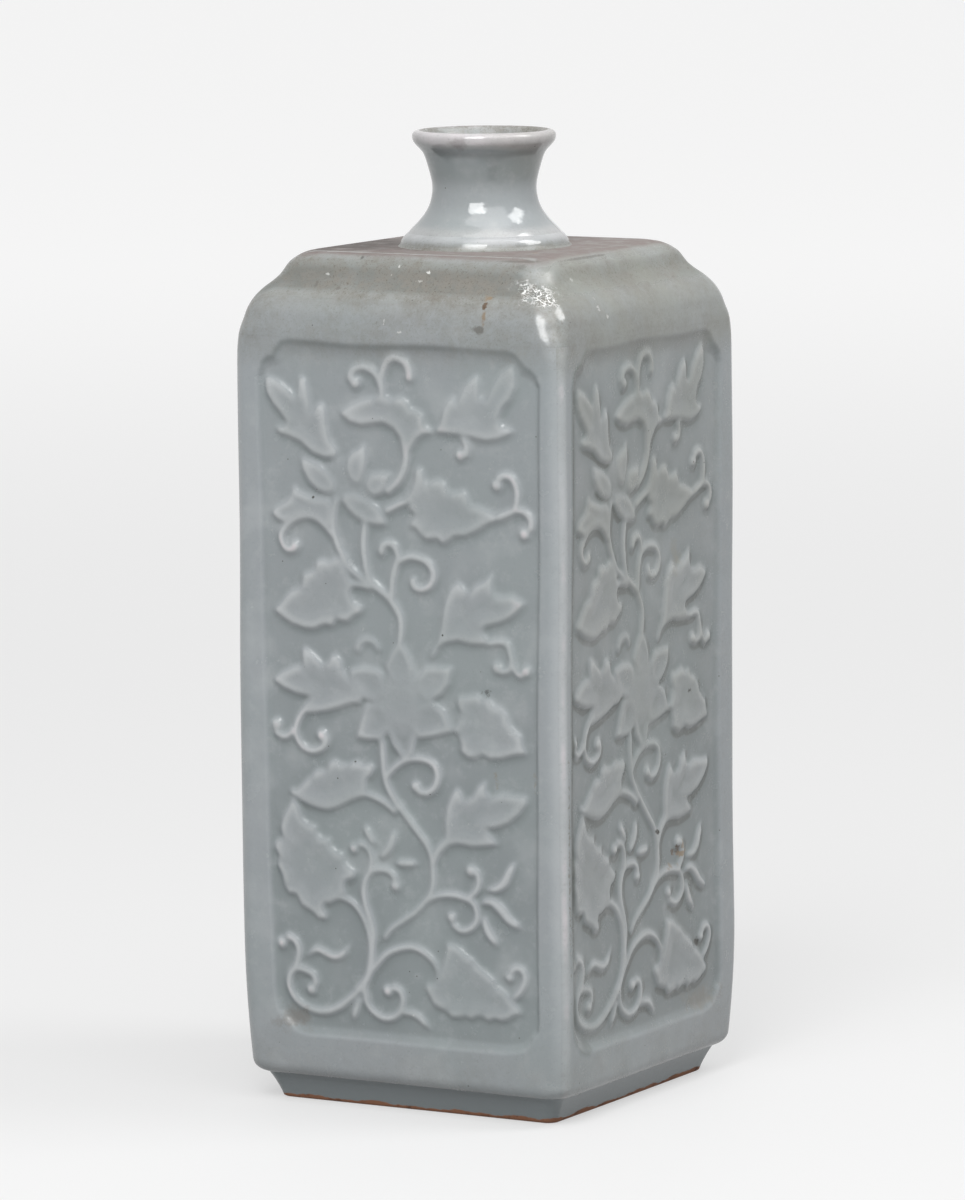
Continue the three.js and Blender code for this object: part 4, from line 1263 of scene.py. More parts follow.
@dataclass(frozen=True)
class FootGlaze:
    """The foot's glaze, wiped off just above the floor so that red-brown clay shows, mixed by noise
    with a darker, shaded copy of the clay as painted shade.
    """

    name: str
    glaze: Triple = (0.215, 0.243, 0.252)
    clay: Triple = (0.27, 0.125, 0.07)
    # Painted shade: a shaded copy of the clay's colour.
    shaded_clay: Triple = (0.07, 0.03, 0.02)
    wipe_height: float = 1.0 * MM

    def material(self) -> bpy.types.Material:
        """Build the material.

        Returns:
            The material.
        """
        nodes = Nodes(self.name)
        wander = nodes.ramp(nodes.noise(95.0, 5.0, 0.6), 0.28, 0.72, -0.0006, 0.0006)
        line = nodes.math("ADD", nodes.height(), wander)
        glazed = nodes.ramp(line, self.wipe_height, self.wipe_height + 0.0004)
        # Where the shaded copy of the clay shows: painted shade in patches.
        clay_shade = nodes.ramp(nodes.noise(260.0, 5.0, 0.7), 0.48, 0.74)
        clay = nodes.mixed(clay_shade, self.clay, self.shaded_clay)
        nodes.link(nodes.mixed(glazed, clay, self.glaze), nodes.shader.inputs["Base Color"])
        nodes.link(nodes.ramp(glazed, 0.0, 1.0, 0.85, 0.26), nodes.shader.inputs["Roughness"])
        nodes.bump(nodes.noise(500.0, 4.0), 0.00008)
        return nodes.material


def dress(piece: bpy.types.Object, material: bpy.types.Material, node: str) -> None:
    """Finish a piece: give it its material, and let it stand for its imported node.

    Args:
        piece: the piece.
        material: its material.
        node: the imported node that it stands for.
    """
    piece.data.materials.clear()
    piece.data.materials.append(material)
    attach(piece, "root")
    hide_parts(node)
    LOG.info("%s: %d faces", piece.name, len(piece.data.polygons))


# Sub-assemblies


class Side(Enum):
    """A wall's side, with its turn from the front in degrees."""

    FRONT = 0
    RIGHT = 90
    BACK = 180
    LEFT = 270


PRESSINGS = {
    Side.FRONT: Pressing(left_foot=-40.4, shift=-0.9, shift_upward=-0.3, drop=0.55, drop_upward=0.1,
                         sag=0.44, tilt=0.14),
    Side.RIGHT: Pressing(left_top=-42.9, left_foot=-45.4, right_top=42.0, right_foot=41.0, top=213.3,
                         foot=20.0, shift=-3.6, shift_upward=1.8, stretch=0.977, stretch_upward=-0.065,
                         drop=1.4, drop_upward=0.3, drawn=-0.89, sag=0.0, tilt=-0.52),
    Side.BACK: Pressing(left_top=-44.0, left_foot=-42.5, right_top=44.0, right_foot=43.5, shift=-0.8,
                        drop=0.3),
    Side.LEFT: Pressing(left_top=-43.5, left_foot=-43.0, right_top=43.5, right_foot=42.5, shift=-1.5,
                        stretch=0.97, drop=0.5),
}


@dataclass(frozen=True)
class WallGlaze:
    """How the glaze lies on one wall, as shares of its common depth.

    A ridge thins it and a hollow pools it. On the side of a raised form that the light doesn't
    reach, painted shade darkens the hollows further. Painted shade also darkens the panel's groove
    along its top and, on the right wall, down its left side, and, with the glaze that pools there,
    the bed towards the foot. Painted light pales the brink at the right panel's foot, and a painted
    highlight runs down the right wall's left edge over its thinned glaze.
    """

    bed: float = 0.2
    # Darker towards the foot: glaze that pools there, and painted shade.
    bed_at_foot: float = 0.37
    groove: float = 0.2
    # Painted shade: the groove darker along the panel's top.
    groove_at_top: float = 0.4
    # Painted shade: the groove darker down the panel's left side.
    groove_at_left: float = 0.0
    brink: float = 0.06
    # Painted light: the brink paler on the step at the panel's foot.
    brink_at_foot: float = 0.0
    ridge: float = 1.1
    # Painted shade: the ridge thinned less on the side of a raised form away from the light.
    ridge_on_shaded_side: float = 0.0
    # Hollows beside the flowers: glaze that pools there, with painted shade on the side away from the
    # light.
    hollow: float = 0.85
    # The hollows darker towards the foot, partly painted shade.
    hollow_at_foot: float = 0.3
    # How far the shaded side turns sideways from the underside of a raised form.
    shaded_side_slant: float = 0.1
    arris: float = 0.4
    # A pale crest down the left edge: thinned glaze and a painted highlight.
    left_arris: float | None = None
    olive: float = 0.15
    soil: float = 0.05


# The right and back walls' strong hollows and shaded sides are painted shade, as is the right wall's left
# groove; its left arris crest is partly a painted highlight.
WALL_GLAZES = {
    Side.FRONT: WallGlaze(),
    Side.RIGHT: WallGlaze(groove_at_left=3.6, brink_at_foot=0.12, ridge_on_shaded_side=-0.35, hollow=4.2,
                          shaded_side_slant=0.8, left_arris=0.84, olive=1.0, soil=0.23),
    Side.BACK: WallGlaze(ridge_on_shaded_side=-0.35, hollow=4.2, shaded_side_slant=0.8, soil=0.23),
    Side.LEFT: WallGlaze(),
}


@dataclass
class Wall:
    """One press-moulded slab with its share of the upright edges, in millimetres."""

    side: Side
    form: BodyForm
    ornament: Ornament
    inner_half: float
    spacing: float = 0.47
    arc_steps: int = 8

    def stations(self) -> Array:
        """Return the places of the mesh's columns, closest together at the mitres' seams.

        Returns:
            The stations, from -1 to 1.
        """
        flat = 2 * (self.form.half - self.form.edge_radius)
        middle = np.linspace(-FLAT_SHARE, FLAT_SHARE, math.ceil(flat / self.spacing) + 1)
        arc = np.append(np.linspace(FLAT_SHARE, 1.0, self.arc_steps + 1)[1:], MITRE_LINE)
        arc.sort()
        return np.concatenate([-arc[::-1], middle, arc])

    def levels(self) -> Array:
        """Return the heights of the mesh's rows.

        Returns:
            The heights, from the foot up.
        """
        form = self.form
        low = form.bottom + form.under_height * np.array([0, 0.01, 0.04, 0.1, 0.2, 0.35, 0.55, 0.78, 1.0])
        rows = math.ceil((form.wall_top - low[-1]) / self.spacing)
        high = np.linspace(low[-1], form.wall_top, rows + 1)[1:]
        return np.concatenate([low, high[:-1], [high[-1] - 0.02, high[-1]]])

    def sunk_share(self, depth: Array, z: Array) -> Array:
        """Work out how far the panel is sunk; its slope is broadest along the top.

        Args:
            depth: how far inside the panel's outline each place lies.
            z: heights.

        Returns:
            The share of the panel's depth, from 0 on the border to 1 on the bed.
        """
        slope = 2.0 + 3.6 * self.near_top(z) + 1.4 * self.near_panel_foot(z)
        share = np.clip((depth + 0.9) / slope, 0, 1)
        share = 1.12 * share**2 / (share + 0.12)
        return 1 - (1 - share) ** (1.4 + 0.9 * self.near_top(z))

    def near_top(self, z: Array) -> Array:
        """Return 1 along the panel's top and 0 below it."""
        return smoothstep((z - PRESSINGS[self.side].top + 10.0) / 6.0)

    def near_panel_foot(self, z: Array) -> Array:
        """Return 1 at the panel's foot and 0 above it."""
        return 1 - smoothstep((z - PRESSINGS[self.side].foot) / 9.0)

    def frame_glaze(self, x: Array, z: Array, depth: Array) -> Array:
        """Thin the glaze on the brink of the panel and pool it in the groove inside; painted shade
        darkens the groove along the top and down the right wall's left side, and painted light pales
        the right panel's brink at its foot.

        Args:
            x: places across the wall.
            z: heights.
            depth: how far inside the panel's outline each place lies.

        Returns:
            How far the glaze is thinned.
        """
        glaze = WALL_GLAZES[self.side]
        near_left = (glaze.groove_at_left > 0) * (
            1 - smoothstep((x - PRESSINGS[self.side].left_top - 6.0) / 4.0)
        )
        # The groove's share along the top and down the left side is painted shade.
        groove = glaze.groove + glaze.groove_at_top * self.near_top(z) + glaze.groove_at_left * near_left
        reach = 0.9 + 0.7 * near_left
        # The brink's share at the panel's foot is painted light.
        brink = glaze.brink + glaze.brink_at_foot * self.near_panel_foot(z)
        return brink * bell(depth, -0.7, 0.5) - groove * bell(depth, 0.3, reach)

    def flower_glaze(self, z: Array, across: Array, up: Array, height: Array) -> Array:
        """Thin the glaze over the flowers and pool it beside them and on the bed; painted shade darkens
        the hollows on the side away from the light and, with the glaze that pools there, the bed
        towards the foot.

        Args:
            z: heights.
            across: the places across the mould.
            up: the places up the mould.
            height: how high the flowers stand there.

        Returns:
            How far the glaze is thinned.
        """
        glaze, pressing = WALL_GLAZES[self.side], PRESSINGS[self.side]
        # 1 at the panel's foot and 0 at its top; the bed is darker there from glaze that pools and from
        # painted shade.
        nearness_to_foot = 1 - smoothstep((z - pressing.foot) / (pressing.top - pressing.foot))
        climb, slant, relief = (
            self.ornament.sample(values, across, up)
            for values in (self.ornament.climb, self.ornament.slant, self.ornament.relief)
        )
        # The side of each raised form away from the light, where painted shade darkens it.
        shaded_side = smoothstep((climb - glaze.shaded_side_slant * slant + 0.03) / 0.12)
        ridge = relief * (glaze.ridge + glaze.ridge_on_shaded_side * shaded_side)
        hollow = (glaze.hollow + glaze.hollow_at_foot * nearness_to_foot) * relief * (0.3 + 0.7 * shaded_side)
        bed = (glaze.bed + glaze.bed_at_foot * nearness_to_foot) * np.clip(1 - 0.8 * height, 0, 1)
        return np.where(relief > 0, ridge, hollow) - bed

    def arris_glaze(self, station: Array) -> Array:
        """Return how far the glaze is thinned over the upright edges, with a painted highlight in the
        right wall's left crest.

        Args:
            station: places across the wall, from -1 to 1.

        Returns:
            How far it is thinned.
        """
        glaze, size = WALL_GLAZES[self.side], np.abs(station)
        thinned = glaze.arris * rising(size, 0.88, 0.12)
        if glaze.left_arris is not None:
            # A painted highlight as well as thinned glaze, where the lamps catch the corner.
            crest = glaze.left_arris * bell(size, 0.955, 0.052)
            thinned = np.where(station < 0, crest, thinned)
        return thinned

    def surface(self, station: Array, z: Array) -> tuple[Array, dict[str, Array]]:
        """Work out the wall's outer face.

        Args:
            station: places across the wall, from -1 to 1.
            z: heights.

        Returns:
            The face's places, and the values that the glaze reads there.
        """
        form, pressing, glaze = self.form, PRESSINGS[self.side], WALL_GLAZES[self.side]
        x, y, out_x, out_y = form.quarter_plan(station, z)
        wobble = 0.3 * np.sin(x / 7.0 + self.side.value) * np.sin(z / 11.0 + 1.0)
        depth = depth_inside(x, z, pressing.panel_outline()) + wobble
        sunk = self.sunk_share(depth, z)
        across, up = pressing.mould_place(x, z, form)
        height = self.ornament.sample(self.ornament.heights, across, up)
        sink = (form.panel_depth - height) * sunk + form.bow_at(x, z)
        places = np.column_stack([x - sink * out_x, y - sink * out_y, z])
        frame = self.frame_glaze(x, z, depth) + self.arris_glaze(station)
        on_top = rising(z, 204.0, 12.0)
        near_foot = 1 - rising(z, form.bottom, 22.0)
        high = 0.45 + 0.75 * rising(z, 60.0, 120.0)
        on_flowers = (0.1 + 0.35 * np.clip(height, 0, 1)) * sunk * high
        values = {
            "relief": self.flower_glaze(z, across, up, height) * sunk + frame,
            "cast": glaze.olive * np.maximum(on_flowers, 0.65 * on_top),
            "soil": glaze.soil + 0.6 * on_top + 0.35 * near_foot,
        }
        return places, values

    def inner_places(self, station: Array, z: Array) -> Array:
        """Return the places on the inner face that the border's columns and rows lead to."""
        x = np.clip(station, -1, 1) * self.inner_half
        return np.column_stack([x, np.full_like(x, -self.inner_half), z])

    def build(self) -> bpy.types.Object:
        """Model the wall: a shaped sheet whose border is drawn in to a flat inner face.

        Returns:
            The wall.
        """
        stations, levels = self.stations(), self.levels()
        name = f"{self.side.name.lower()}_glazed_wall"
        piece = new_sheet(name, len(stations) - 1, len(levels) - 1)
        mesh = piece.data
        count = len(mesh.vertices)
        columns, rows = np.meshgrid(stations, levels)
        write_attribute(mesh, "station", columns.ravel())
        write_attribute(mesh, "level", rows.ravel())
        places, values = self.surface(columns.ravel(), rows.ravel())
        for key, numbers in values.items():
            write_attribute(mesh, key, numbers)
        turned = turned_places(places, self.side.value)
        set_places(mesh, turned + self.form.unevenness(turned))
        activate(piece)
        bpy.ops.object.mode_set(mode="EDIT")
        bpy.ops.mesh.select_mode(type="EDGE")
        bpy.ops.mesh.select_all(action="DESELECT")
        bpy.ops.mesh.select_non_manifold(extend=False, use_boundary=True)
        bpy.ops.mesh.mark_sharp()
        bpy.ops.mesh.extrude_edges_move()
        bpy.ops.object.mode_set(mode="OBJECT")
        places = get_places(mesh)
        inner = self.inner_places(read_attribute(mesh, "station"), read_attribute(mesh, "level"))
        places[count:] = turned_places(inner[count:], self.side.value)
        set_places(mesh, places)
        bpy.ops.object.mode_set(mode="EDIT")
        bpy.ops.mesh.edge_face_add()
        bpy.ops.object.mode_set(mode="OBJECT")
        face_outwards(piece)
        for helper in ("station", "level"):
            mesh.attributes.remove(mesh.attributes[helper])
        return piece


def ring_of(points: int) -> bpy.types.Object:
    """Add an open ring of edges that a loft can grow from."""
    bpy.ops.object.select_all(action="DESELECT")
    bpy.ops.mesh.primitive_circle_add(vertices=points, radius=1.0, fill_type="NOTHING", calc_uvs=False)
    return bpy.context.object


def loft(name: str, rings: list[Array]) -> bpy.types.Object:
    """Grow a closed piece ring by ring and join its last ring to its first.

    Args:
        name: the piece's name.
        rings: the places of each ring in millimetres, all with as many points.

    Returns:
        The piece.
    """
    piece = ring_of(len(rings[0]))
    piece.name = name
    mesh = piece.data
    mesh.name = name
    write_attribute(mesh, "around", np.arange(len(rings[0])))
    bpy.ops.object.mode_set(mode="EDIT")
    bpy.ops.mesh.select_mode(type="EDGE")
    bpy.ops.mesh.select_all(action="SELECT")
    for _ in rings[1:]:
        bpy.ops.mesh.extrude_edges_move()
    bpy.ops.object.mode_set(mode="OBJECT")
    around = np.rint(read_attribute(mesh, "around")).astype(int)
    ring = np.arange(len(mesh.vertices)) // len(rings[0])
    set_places(mesh, np.array(rings)[ring, around])
    bpy.ops.object.mode_set(mode="EDIT")
    bpy.ops.mesh.select_all(action="DESELECT")
    bpy.ops.mesh.select_non_manifold(extend=False, use_boundary=True)
    bpy.ops.mesh.bridge_edge_loops()
    bpy.ops.object.mode_set(mode="OBJECT")
    mesh.attributes.remove(mesh.attributes["around"])
    face_outwards(piece)
    return piece


@dataclass
class Shoulder:
    """The moulded ogee shoulder with its deck and the hole under the neck, in millimetres."""

    form: BodyForm
    hole_radius: float
    ceiling: float
    inner_half: float
    arc_points: int = 14
    flat_points: int = 48

    def rounded_square(self, half: float, radius: float) -> Array:
        """Return a rounded square's points, anticlockwise from the front's right end.

        Args:
            half: half its width.
            radius: its corners' radius.

        Returns:
            One row of x and y for each point.
        """
        points: list[Point] = []
        for corner in range(4):
            start = (corner - 1) * math.pi / 2
            middle = start + math.pi / 4
            centre_x = math.copysign(half - radius, math.cos(middle))
            centre_y = math.copysign(half - radius, math.sin(middle))
            for i in range(self.arc_points + 1):
                angle = start + i / self.arc_points * math.pi / 2
                points.append((centre_x + radius * math.cos(angle), centre_y + radius * math.sin(angle)))
            end = start + math.pi / 2
            tangent = np.array([-math.sin(end), math.cos(end)])
            origin = np.array(points[-1])
            run = 2 * (half - radius) / self.flat_points
            points += [tuple(origin + tangent * run * i) for i in range(1, self.flat_points)]
        return np.array(points)

    def hole_ring(self, rim: Array) -> Array:
        """Return the hole's points, each in line with a point of the rim."""
        angles = np.unwrap(np.arctan2(rim[:, 1], rim[:, 0]))
        return self.hole_radius * np.column_stack([np.cos(angles), np.sin(angles)])

    def outer_rings(self) -> list[Array]:
        """Return the rings over the ogee and the deck, with the strays of handwork.

        Returns:
            The rings, from the walls' top inwards.
        """
        ogee = self.form.ogee()
        radii = self.form.radius_at(ogee[:, 1], ogee[:, 0])
        rings = [self.rounded_square(self.form.half, float(radii[0]))]
        heights = [ogee[0, 0]]
        for (z, inset), radius in zip(ogee, radii):
            rings.append(self.rounded_square(self.form.half - inset, float(radius)))
            heights.append(z)
        heights[1] += 0.02
        rim = rings[-1]
        hole = self.hole_ring(rim)
        for share in (0.03, 0.08, 0.16, 0.28, 0.45, 0.62, 0.8, 1.0):
            rings.append(rim * (1 - share) + hole * share)
            heights.append(self.form.deck)
        result = []
        for ring, z in zip(rings, heights):
            places = np.column_stack([ring, np.full(len(ring), z)])
            calm = smoothstep((np.hypot(ring[:, 0], ring[:, 1]) - 24.0) / 12.0)
            result.append(places + self.form.unevenness(places) * calm[:, None])
        return result

    def build(self) -> bpy.types.Object:
        """Model the shoulder as a closed loft over the ogee, the deck, the hole and the hollow.

        Returns:
            The shoulder.
        """
        rings = self.outer_rings()
        inner = [(self.hole_ring(rings[-1]), self.ceiling)]
        top = self.form.wall_top
        for half, z in ((34.0, self.ceiling), (38.0, self.ceiling - 2), (42.3, self.ceiling - 5.1),
                        (44.8, top + 7), (self.inner_half, top)):
            inner.append((self.rounded_square(half, 2.0), z))
        rings += [np.column_stack([ring, np.full(len(ring), z)]) for ring, z in inner]
        piece = loft("glazed_shoulder", rings)
        self.mark_glaze(piece.data)
        return piece

    def mark_glaze(self, mesh: bpy.types.Mesh) -> None:
        """Thin the glaze over the edges, pool it in the hollow, and soil what faces up. Painted shade
        and a painted dark reflection darken the hollow, most on the front, and a line under the deck's
        edge; a painted highlight pales the front of the deck's edge along with its wear; the front's
        crest and soil are darker than the sides'.

        Args:
            mesh: the shoulder's mesh.
        """
        x, y, z = get_places(mesh).T
        inset = self.form.half - np.maximum(np.abs(x), np.abs(y))
        corner = np.minimum(np.abs(x), np.abs(y)) / np.maximum(np.abs(x), np.abs(y))
        rightward, forward, backward = (
            rising(lead, -4.0, 8.0) for lead in (x - np.abs(y), -y - np.abs(x), y - np.abs(x))
        )
        arris = 0.4 * rising(corner, 0.9, 0.1)
        # Partly worn glaze, partly a painted highlight along the front of the deck's edge.
        deck_edge_wear_and_highlight = 0.9 * forward * bell(inset, 16.4, 1.3)
        # Painted shade: a dark line under the deck's edge.
        shade_under_deck_edge = -0.7 * bell(inset, 13.9, 0.6)
        # Darker along the front's crest.
        crest = -0.6 * forward * bell(inset, 10.2, 1.4)
        trough = bell(inset, 7.2, 2.3, power=4)
        # Painted shade and a painted dark reflection in the ogee's hollow, strongest on the front.
        hollow = -(1.25 + 0.8 * forward) * trough
        above = smoothstep(inset / 4.0)
        cast_above = 0.45 + 0.35 * rightward - 0.4 * forward * trough
        cast_at_wall = 0.1 + 0.55 * rightward
        # The front's soil is darker than the sides'.
        soil_above = 0.85 + 0.35 * forward + 0.6 * bell(inset, 8.0, 3.6)
        soil_at_wall = 0.65 + 0.18 * np.maximum(rightward, backward)
        outside = z > self.form.wall_top - 0.01
        for name, values in (
            ("relief", arris + deck_edge_wear_and_highlight + shade_under_deck_edge + crest + hollow),
            ("cast", above * cast_above + (1 - above) * cast_at_wall),
            ("soil", above * soil_above + (1 - above) * soil_at_wall),
        ):
            write_attribute(mesh, name, np.where(outside, values, 0.0))


def spun(name: str, profile: Array, steps: int = 160) -> bpy.types.Object:
    """Spin a closed profile round the vase's axis.

    Args:
        name: the piece's name.
        profile: rows of radius and height in millimetres, once round the section.
        steps: how many steps the turn has.

    Returns:
        The piece.
    """
    piece = ring_of(len(profile))
    piece.name = name
    piece.data.name = name
    places = np.column_stack([profile[:, 0], np.zeros(len(profile)), profile[:, 1]])
    set_places(piece.data, places)
    bpy.ops.object.mode_set(mode="EDIT")
    bpy.ops.mesh.select_all(action="SELECT")
    bpy.ops.mesh.spin(steps=steps, angle=math.tau, center=(0, 0, 0), axis=(0, 0, 1), use_auto_merge=True)
    bpy.ops.mesh.select_all(action="SELECT")
    bpy.ops.mesh.remove_doubles(threshold=1e-6)
    bpy.ops.object.mode_set(mode="OBJECT")
    face_outwards(piece)
    bpy.ops.object.shade_smooth_by_angle(angle=math.radians(50))
    return piece


@dataclass
class Neck:
    """The thrown neck with its flared mouth, in millimetres over the deck's seam."""

    seat: float
    height: float
    tenon: float = 18.4
    flare: float = 21.3
    ring_height: float = 3.6

    def profile(self) -> Array:
        """Return the neck's section, from its foot up the outside and down the bore.

        Returns:
            The section, as rows of radius and height.
        """
        outside = ((self.flare, self.ring_height), (20.6, 4.45), (19.65, 5.4), (18.5, 6.55), (17.5, 7.75),
                   (16.65, 8.9), (15.95, 10.1), (15.3, 11.6), (14.85, 13.4), (14.6, 15.5), (14.75, 17.7),
                   (15.2, 19.8), (15.85, 22.2), (16.5, 24.3), (17.1, 25.7), (17.9, 26.75), (18.9, 27.8),
                   (19.75, 28.9), (20.1, 30.0), (20.0, 31.0), (19.3, 31.75), (18.2, 32.0), (17.3, 31.7),
                   (16.5, 30.9), (15.3, 29.0), (13.7, 26.0), (12.1, 22.5), (10.9, 19.0), (10.4, 15.5),
                   (10.6, 12.0), (11.5, 8.0), (12.9, 4.0), (14.0, 0.0))
        curve = curve_through(outside, 0.4)
        curve[:, 1] = np.clip(curve[:, 1], 0.0, self.height)
        section = np.vstack([[(self.tenon, 0.0), (self.tenon, self.ring_height)], curve])
        return section + np.array([0.0, self.seat])

    def build(self) -> bpy.types.Object:
        """Spin the neck and thin its glaze on the lip and just over the ring, with painted shade under the
        lip and painted light on the right of the lip's underside.

        Returns:
            The neck.
        """
        piece = spun("glazed_neck", self.profile())
        x, y, z = get_places(piece.data).T
        radius = np.hypot(x, y)
        rise = z - self.seat
        lip = smoothstep((rise - self.height + 5.4) / 3.0) * rising(radius, 15.6, 2.4)
        foot = smoothstep((7.4 - rise) / 3.4) * rising(radius, 15.0, 2.0)
        inside = (rise > 14.0) & (radius < 0.42 * rise + 4.6)
        rightward = smoothstep((x + 0.4 * y) / 14.0)
        # Painted shade under the lip's overhang.
        shade_under_lip = rising(rise, 15.0, 6.0) * smoothstep((27.5 - rise) / 2.0)
        # Painted light on the right of the lip's underside, where no lamp reaches.
        painted_side_light = rightward * rising(rise, 23.5, 3.5)
        write_attribute(piece.data, "relief", 1.3 * lip + 0.7 * foot - 0.1 - 0.45 * shade_under_lip + 0.5 * painted_side_light)
        write_attribute(piece.data, "cast", 0.15 + 0.5 * rightward * rising(rise, 14.0, 12.0))
        write_attribute(piece.data, "soil", 0.3 * foot + 1.3 * inside + 0.35 * lip)
        return piece


@dataclass
class NeckRing:
    """The ring of clay round the neck's foot, in millimetres."""

    seat: float
    bore: float
    radius: float
    height: float
    flare: float = 21.3
    seam: float = 0.3

    def profile(self) -> Array:
        """Return the ring's section, from its bore along the deck and over its back."""
        r, top, sole = self.radius, self.seat + self.height, self.seat - self.seam
        back = ((r + 0.5, sole), (r + 0.05, sole + 0.4), (r - 0.25, sole + 1.0), (r - 0.6, sole + 1.8),
                (r - 1.1, sole + 2.6), (r - 1.75, sole + 3.3), (self.flare + 0.12, top - 0.14),
                (self.flare, top))
        return np.vstack([[(self.bore, sole)], curve_through(back, 0.3), [(self.bore, top)]])

    def build(self) -> bpy.types.Object:
        """Spin the ring and thin its glaze on its back.

        Returns:
            The ring.
        """
        piece = spun("glazed_neck_ring", self.profile())
        rise = get_places(piece.data)[:, 2] - self.seat
        write_attribute(piece.data, "relief", 0.6 * smoothstep((rise + 0.2) / 3.4))
        write_attribute(piece.data, "cast", 0.6 * (1 - smoothstep(rise / 2.6)))
        write_attribute(piece.data, "soil", 1.5 - 1.2 * smoothstep(rise / 2.6))
        return piece


@dataclass
class FootStrip:
    """One mitred strip of the foot, in millimetres."""

    side: Side
    form: BodyForm
    top: float
    half_top: float
    half_bottom: float = 44.2
    inner_half: float = 37.8

    def rows(self) -> Array:
        """Return the section once round, as rows of half width, height and corner radius."""
        low, high, inner = self.half_bottom, self.half_top, self.inner_half
        rise = high - low
        return np.array([
            (inner, self.top, 2), (inner, 0.6, 2), (inner + 0.3, 0.15, 2), (inner + 0.9, 0, 2),
            (low - 1.3, 0, 3), (low - 0.6, 0.08, 3), (low - 0.2, 0.35, 3), (low - 0.05, 0.8, 3),
            (low + 0.1 * rise, 1.8, 3.2), (low + 0.28 * rise, 3.2, 3.4), (low + 0.5 * rise, 4.8, 3.6),
            (low + 0.74 * rise, 6.3, 3.8), (low + 0.9 * rise, 7.2, 4), (high, self.top, 4),
        ])

    def stations(self) -> Array:
        """Return the places of the section's copies, from one mitre to the other."""
        arc = np.append(np.linspace(FLAT_SHARE, 1.0, 9)[1:-1], [MITRE_LINE, 1.0])
        return np.concatenate([-arc[::-1], np.linspace(-FLAT_SHARE, FLAT_SHARE, 47), arc])

    def build(self) -> bpy.types.Object:
        """Sweep the section round the strip's quarter of the plan and close its mitres.

        Returns:
            The strip.
        """
        rows, stations = self.rows(), self.stations()
        piece = new_sheet(f"{self.side.name.lower()}_foot_band", len(stations) - 1, len(rows) - 1)
        mesh = piece.data
        station, row = (grid.ravel() for grid in np.meshgrid(stations, np.arange(len(rows))))
        half, z, radius = rows[row].T
        x, y, _ = front_quarter(station, half, radius)
        places = turned_places(np.column_stack([x, y, z]), self.side.value)
        outer = (row >= 4)[:, None]
        set_places(mesh, places + self.form.unevenness(places) * outer)
        activate(piece)
        bpy.ops.object.mode_set(mode="EDIT")
        bpy.ops.mesh.select_mode(type="EDGE")
        bpy.ops.mesh.select_all(action="DESELECT")
        bpy.ops.object.mode_set(mode="OBJECT")
        width = len(stations)
        last = (len(rows) - 1) * width
        for edge in mesh.edges:
            start, end = sorted(edge.vertices)
            edge.select = end < width or start >= last
        bpy.ops.object.mode_set(mode="EDIT")
        bpy.ops.mesh.bridge_edge_loops()
        bpy.ops.mesh.select_all(action="DESELECT")
        bpy.ops.mesh.select_non_manifold(extend=False, use_boundary=True)
        bpy.ops.mesh.mark_sharp()
        bpy.ops.mesh.fill_holes(sides=0)
        bpy.ops.object.mode_set(mode="OBJECT")
        face_outwards(piece)
        bpy.ops.object.shade_smooth_by_angle(angle=math.radians(50), keep_sharp_edges=True)
        return piece


# Camera, floor and light


@dataclass(frozen=True)
class PhotoView:
    """Where the camera stands, in degrees, millimetres and pixels of a 965 by 1200 image."""

    turn: float = 29.74
    distance: float = 1983.2
    height: float = 396.2
    pitch: float = 7.415
    roll: float = -0.54
    focal_pixels: float = 7107.0
    image_height: float = 1200.0
    aside_pixels: float = 5.86
    sensor: float = 36.0

    def place_camera(self) -> None:
        """Add the camera and make it the scene's."""
        turn, pitch, roll = (math.radians(v) for v in (self.turn, self.pitch, self.roll))
        level = Vector((math.cos(turn), math.sin(turn), 0))
        ahead = Vector((-math.sin(turn), math.cos(turn), 0))
        forward = math.cos(pitch) * ahead + Vector((0, 0, -math.sin(pitch)))
        upright = level.cross(forward)
        right = math.cos(roll) * level + math.sin(roll) * upright
        up = -math.sin(roll) * level + math.cos(roll) * upright
        data = bpy.data.cameras.new("photo_camera")
        data.sensor_fit = "VERTICAL"
        data.sensor_height = self.sensor
        data.lens = self.sensor * self.focal_pixels / self.image_height
        data.shift_x = -self.aside_pixels / self.image_height
        data.clip_start = 0.05
        data.clip_end = 50.0
        camera = bpy.data.objects.new("photo_camera", data)
        bpy.context.scene.collection.objects.link(camera)
        place = (Vector((0, 0, self.height)) - self.distance * ahead) * MM
        axes = Matrix((right, up, -forward)).transposed()
        camera.matrix_world = Matrix.Translation(place) @ axes.to_4x4()
        bpy.context.scene.camera = camera


@dataclass(frozen=True)
class Softbox:
    """A soft rectangular lamp, placed by its turn and rise as seen from the vase's middle."""

    name: str
    turn: float
    rise: float
    width: float
    height: float
    power: float
    distance: float = 1.6

    def hang(self) -> None:
        """Add the lamp, aimed at the vase's middle."""
        data = bpy.data.lights.new(self.name, "AREA")
        data.shape = "RECTANGLE"
        data.size = self.width
        data.size_y = self.height
        data.energy = self.power
        lamp = bpy.data.objects.new(self.name, data)
        turn, rise = math.radians(self.turn), math.radians(self.rise)
        away = Vector((math.sin(turn) * math.cos(rise), -math.cos(turn) * math.cos(rise), math.sin(rise)))
        middle = Vector((0, 0, 0.15))
        lamp.location = middle + away * self.distance
        lamp.rotation_euler = (-away).to_track_quat("-Z", "Y").to_euler()
        bpy.context.scene.collection.objects.link(lamp)


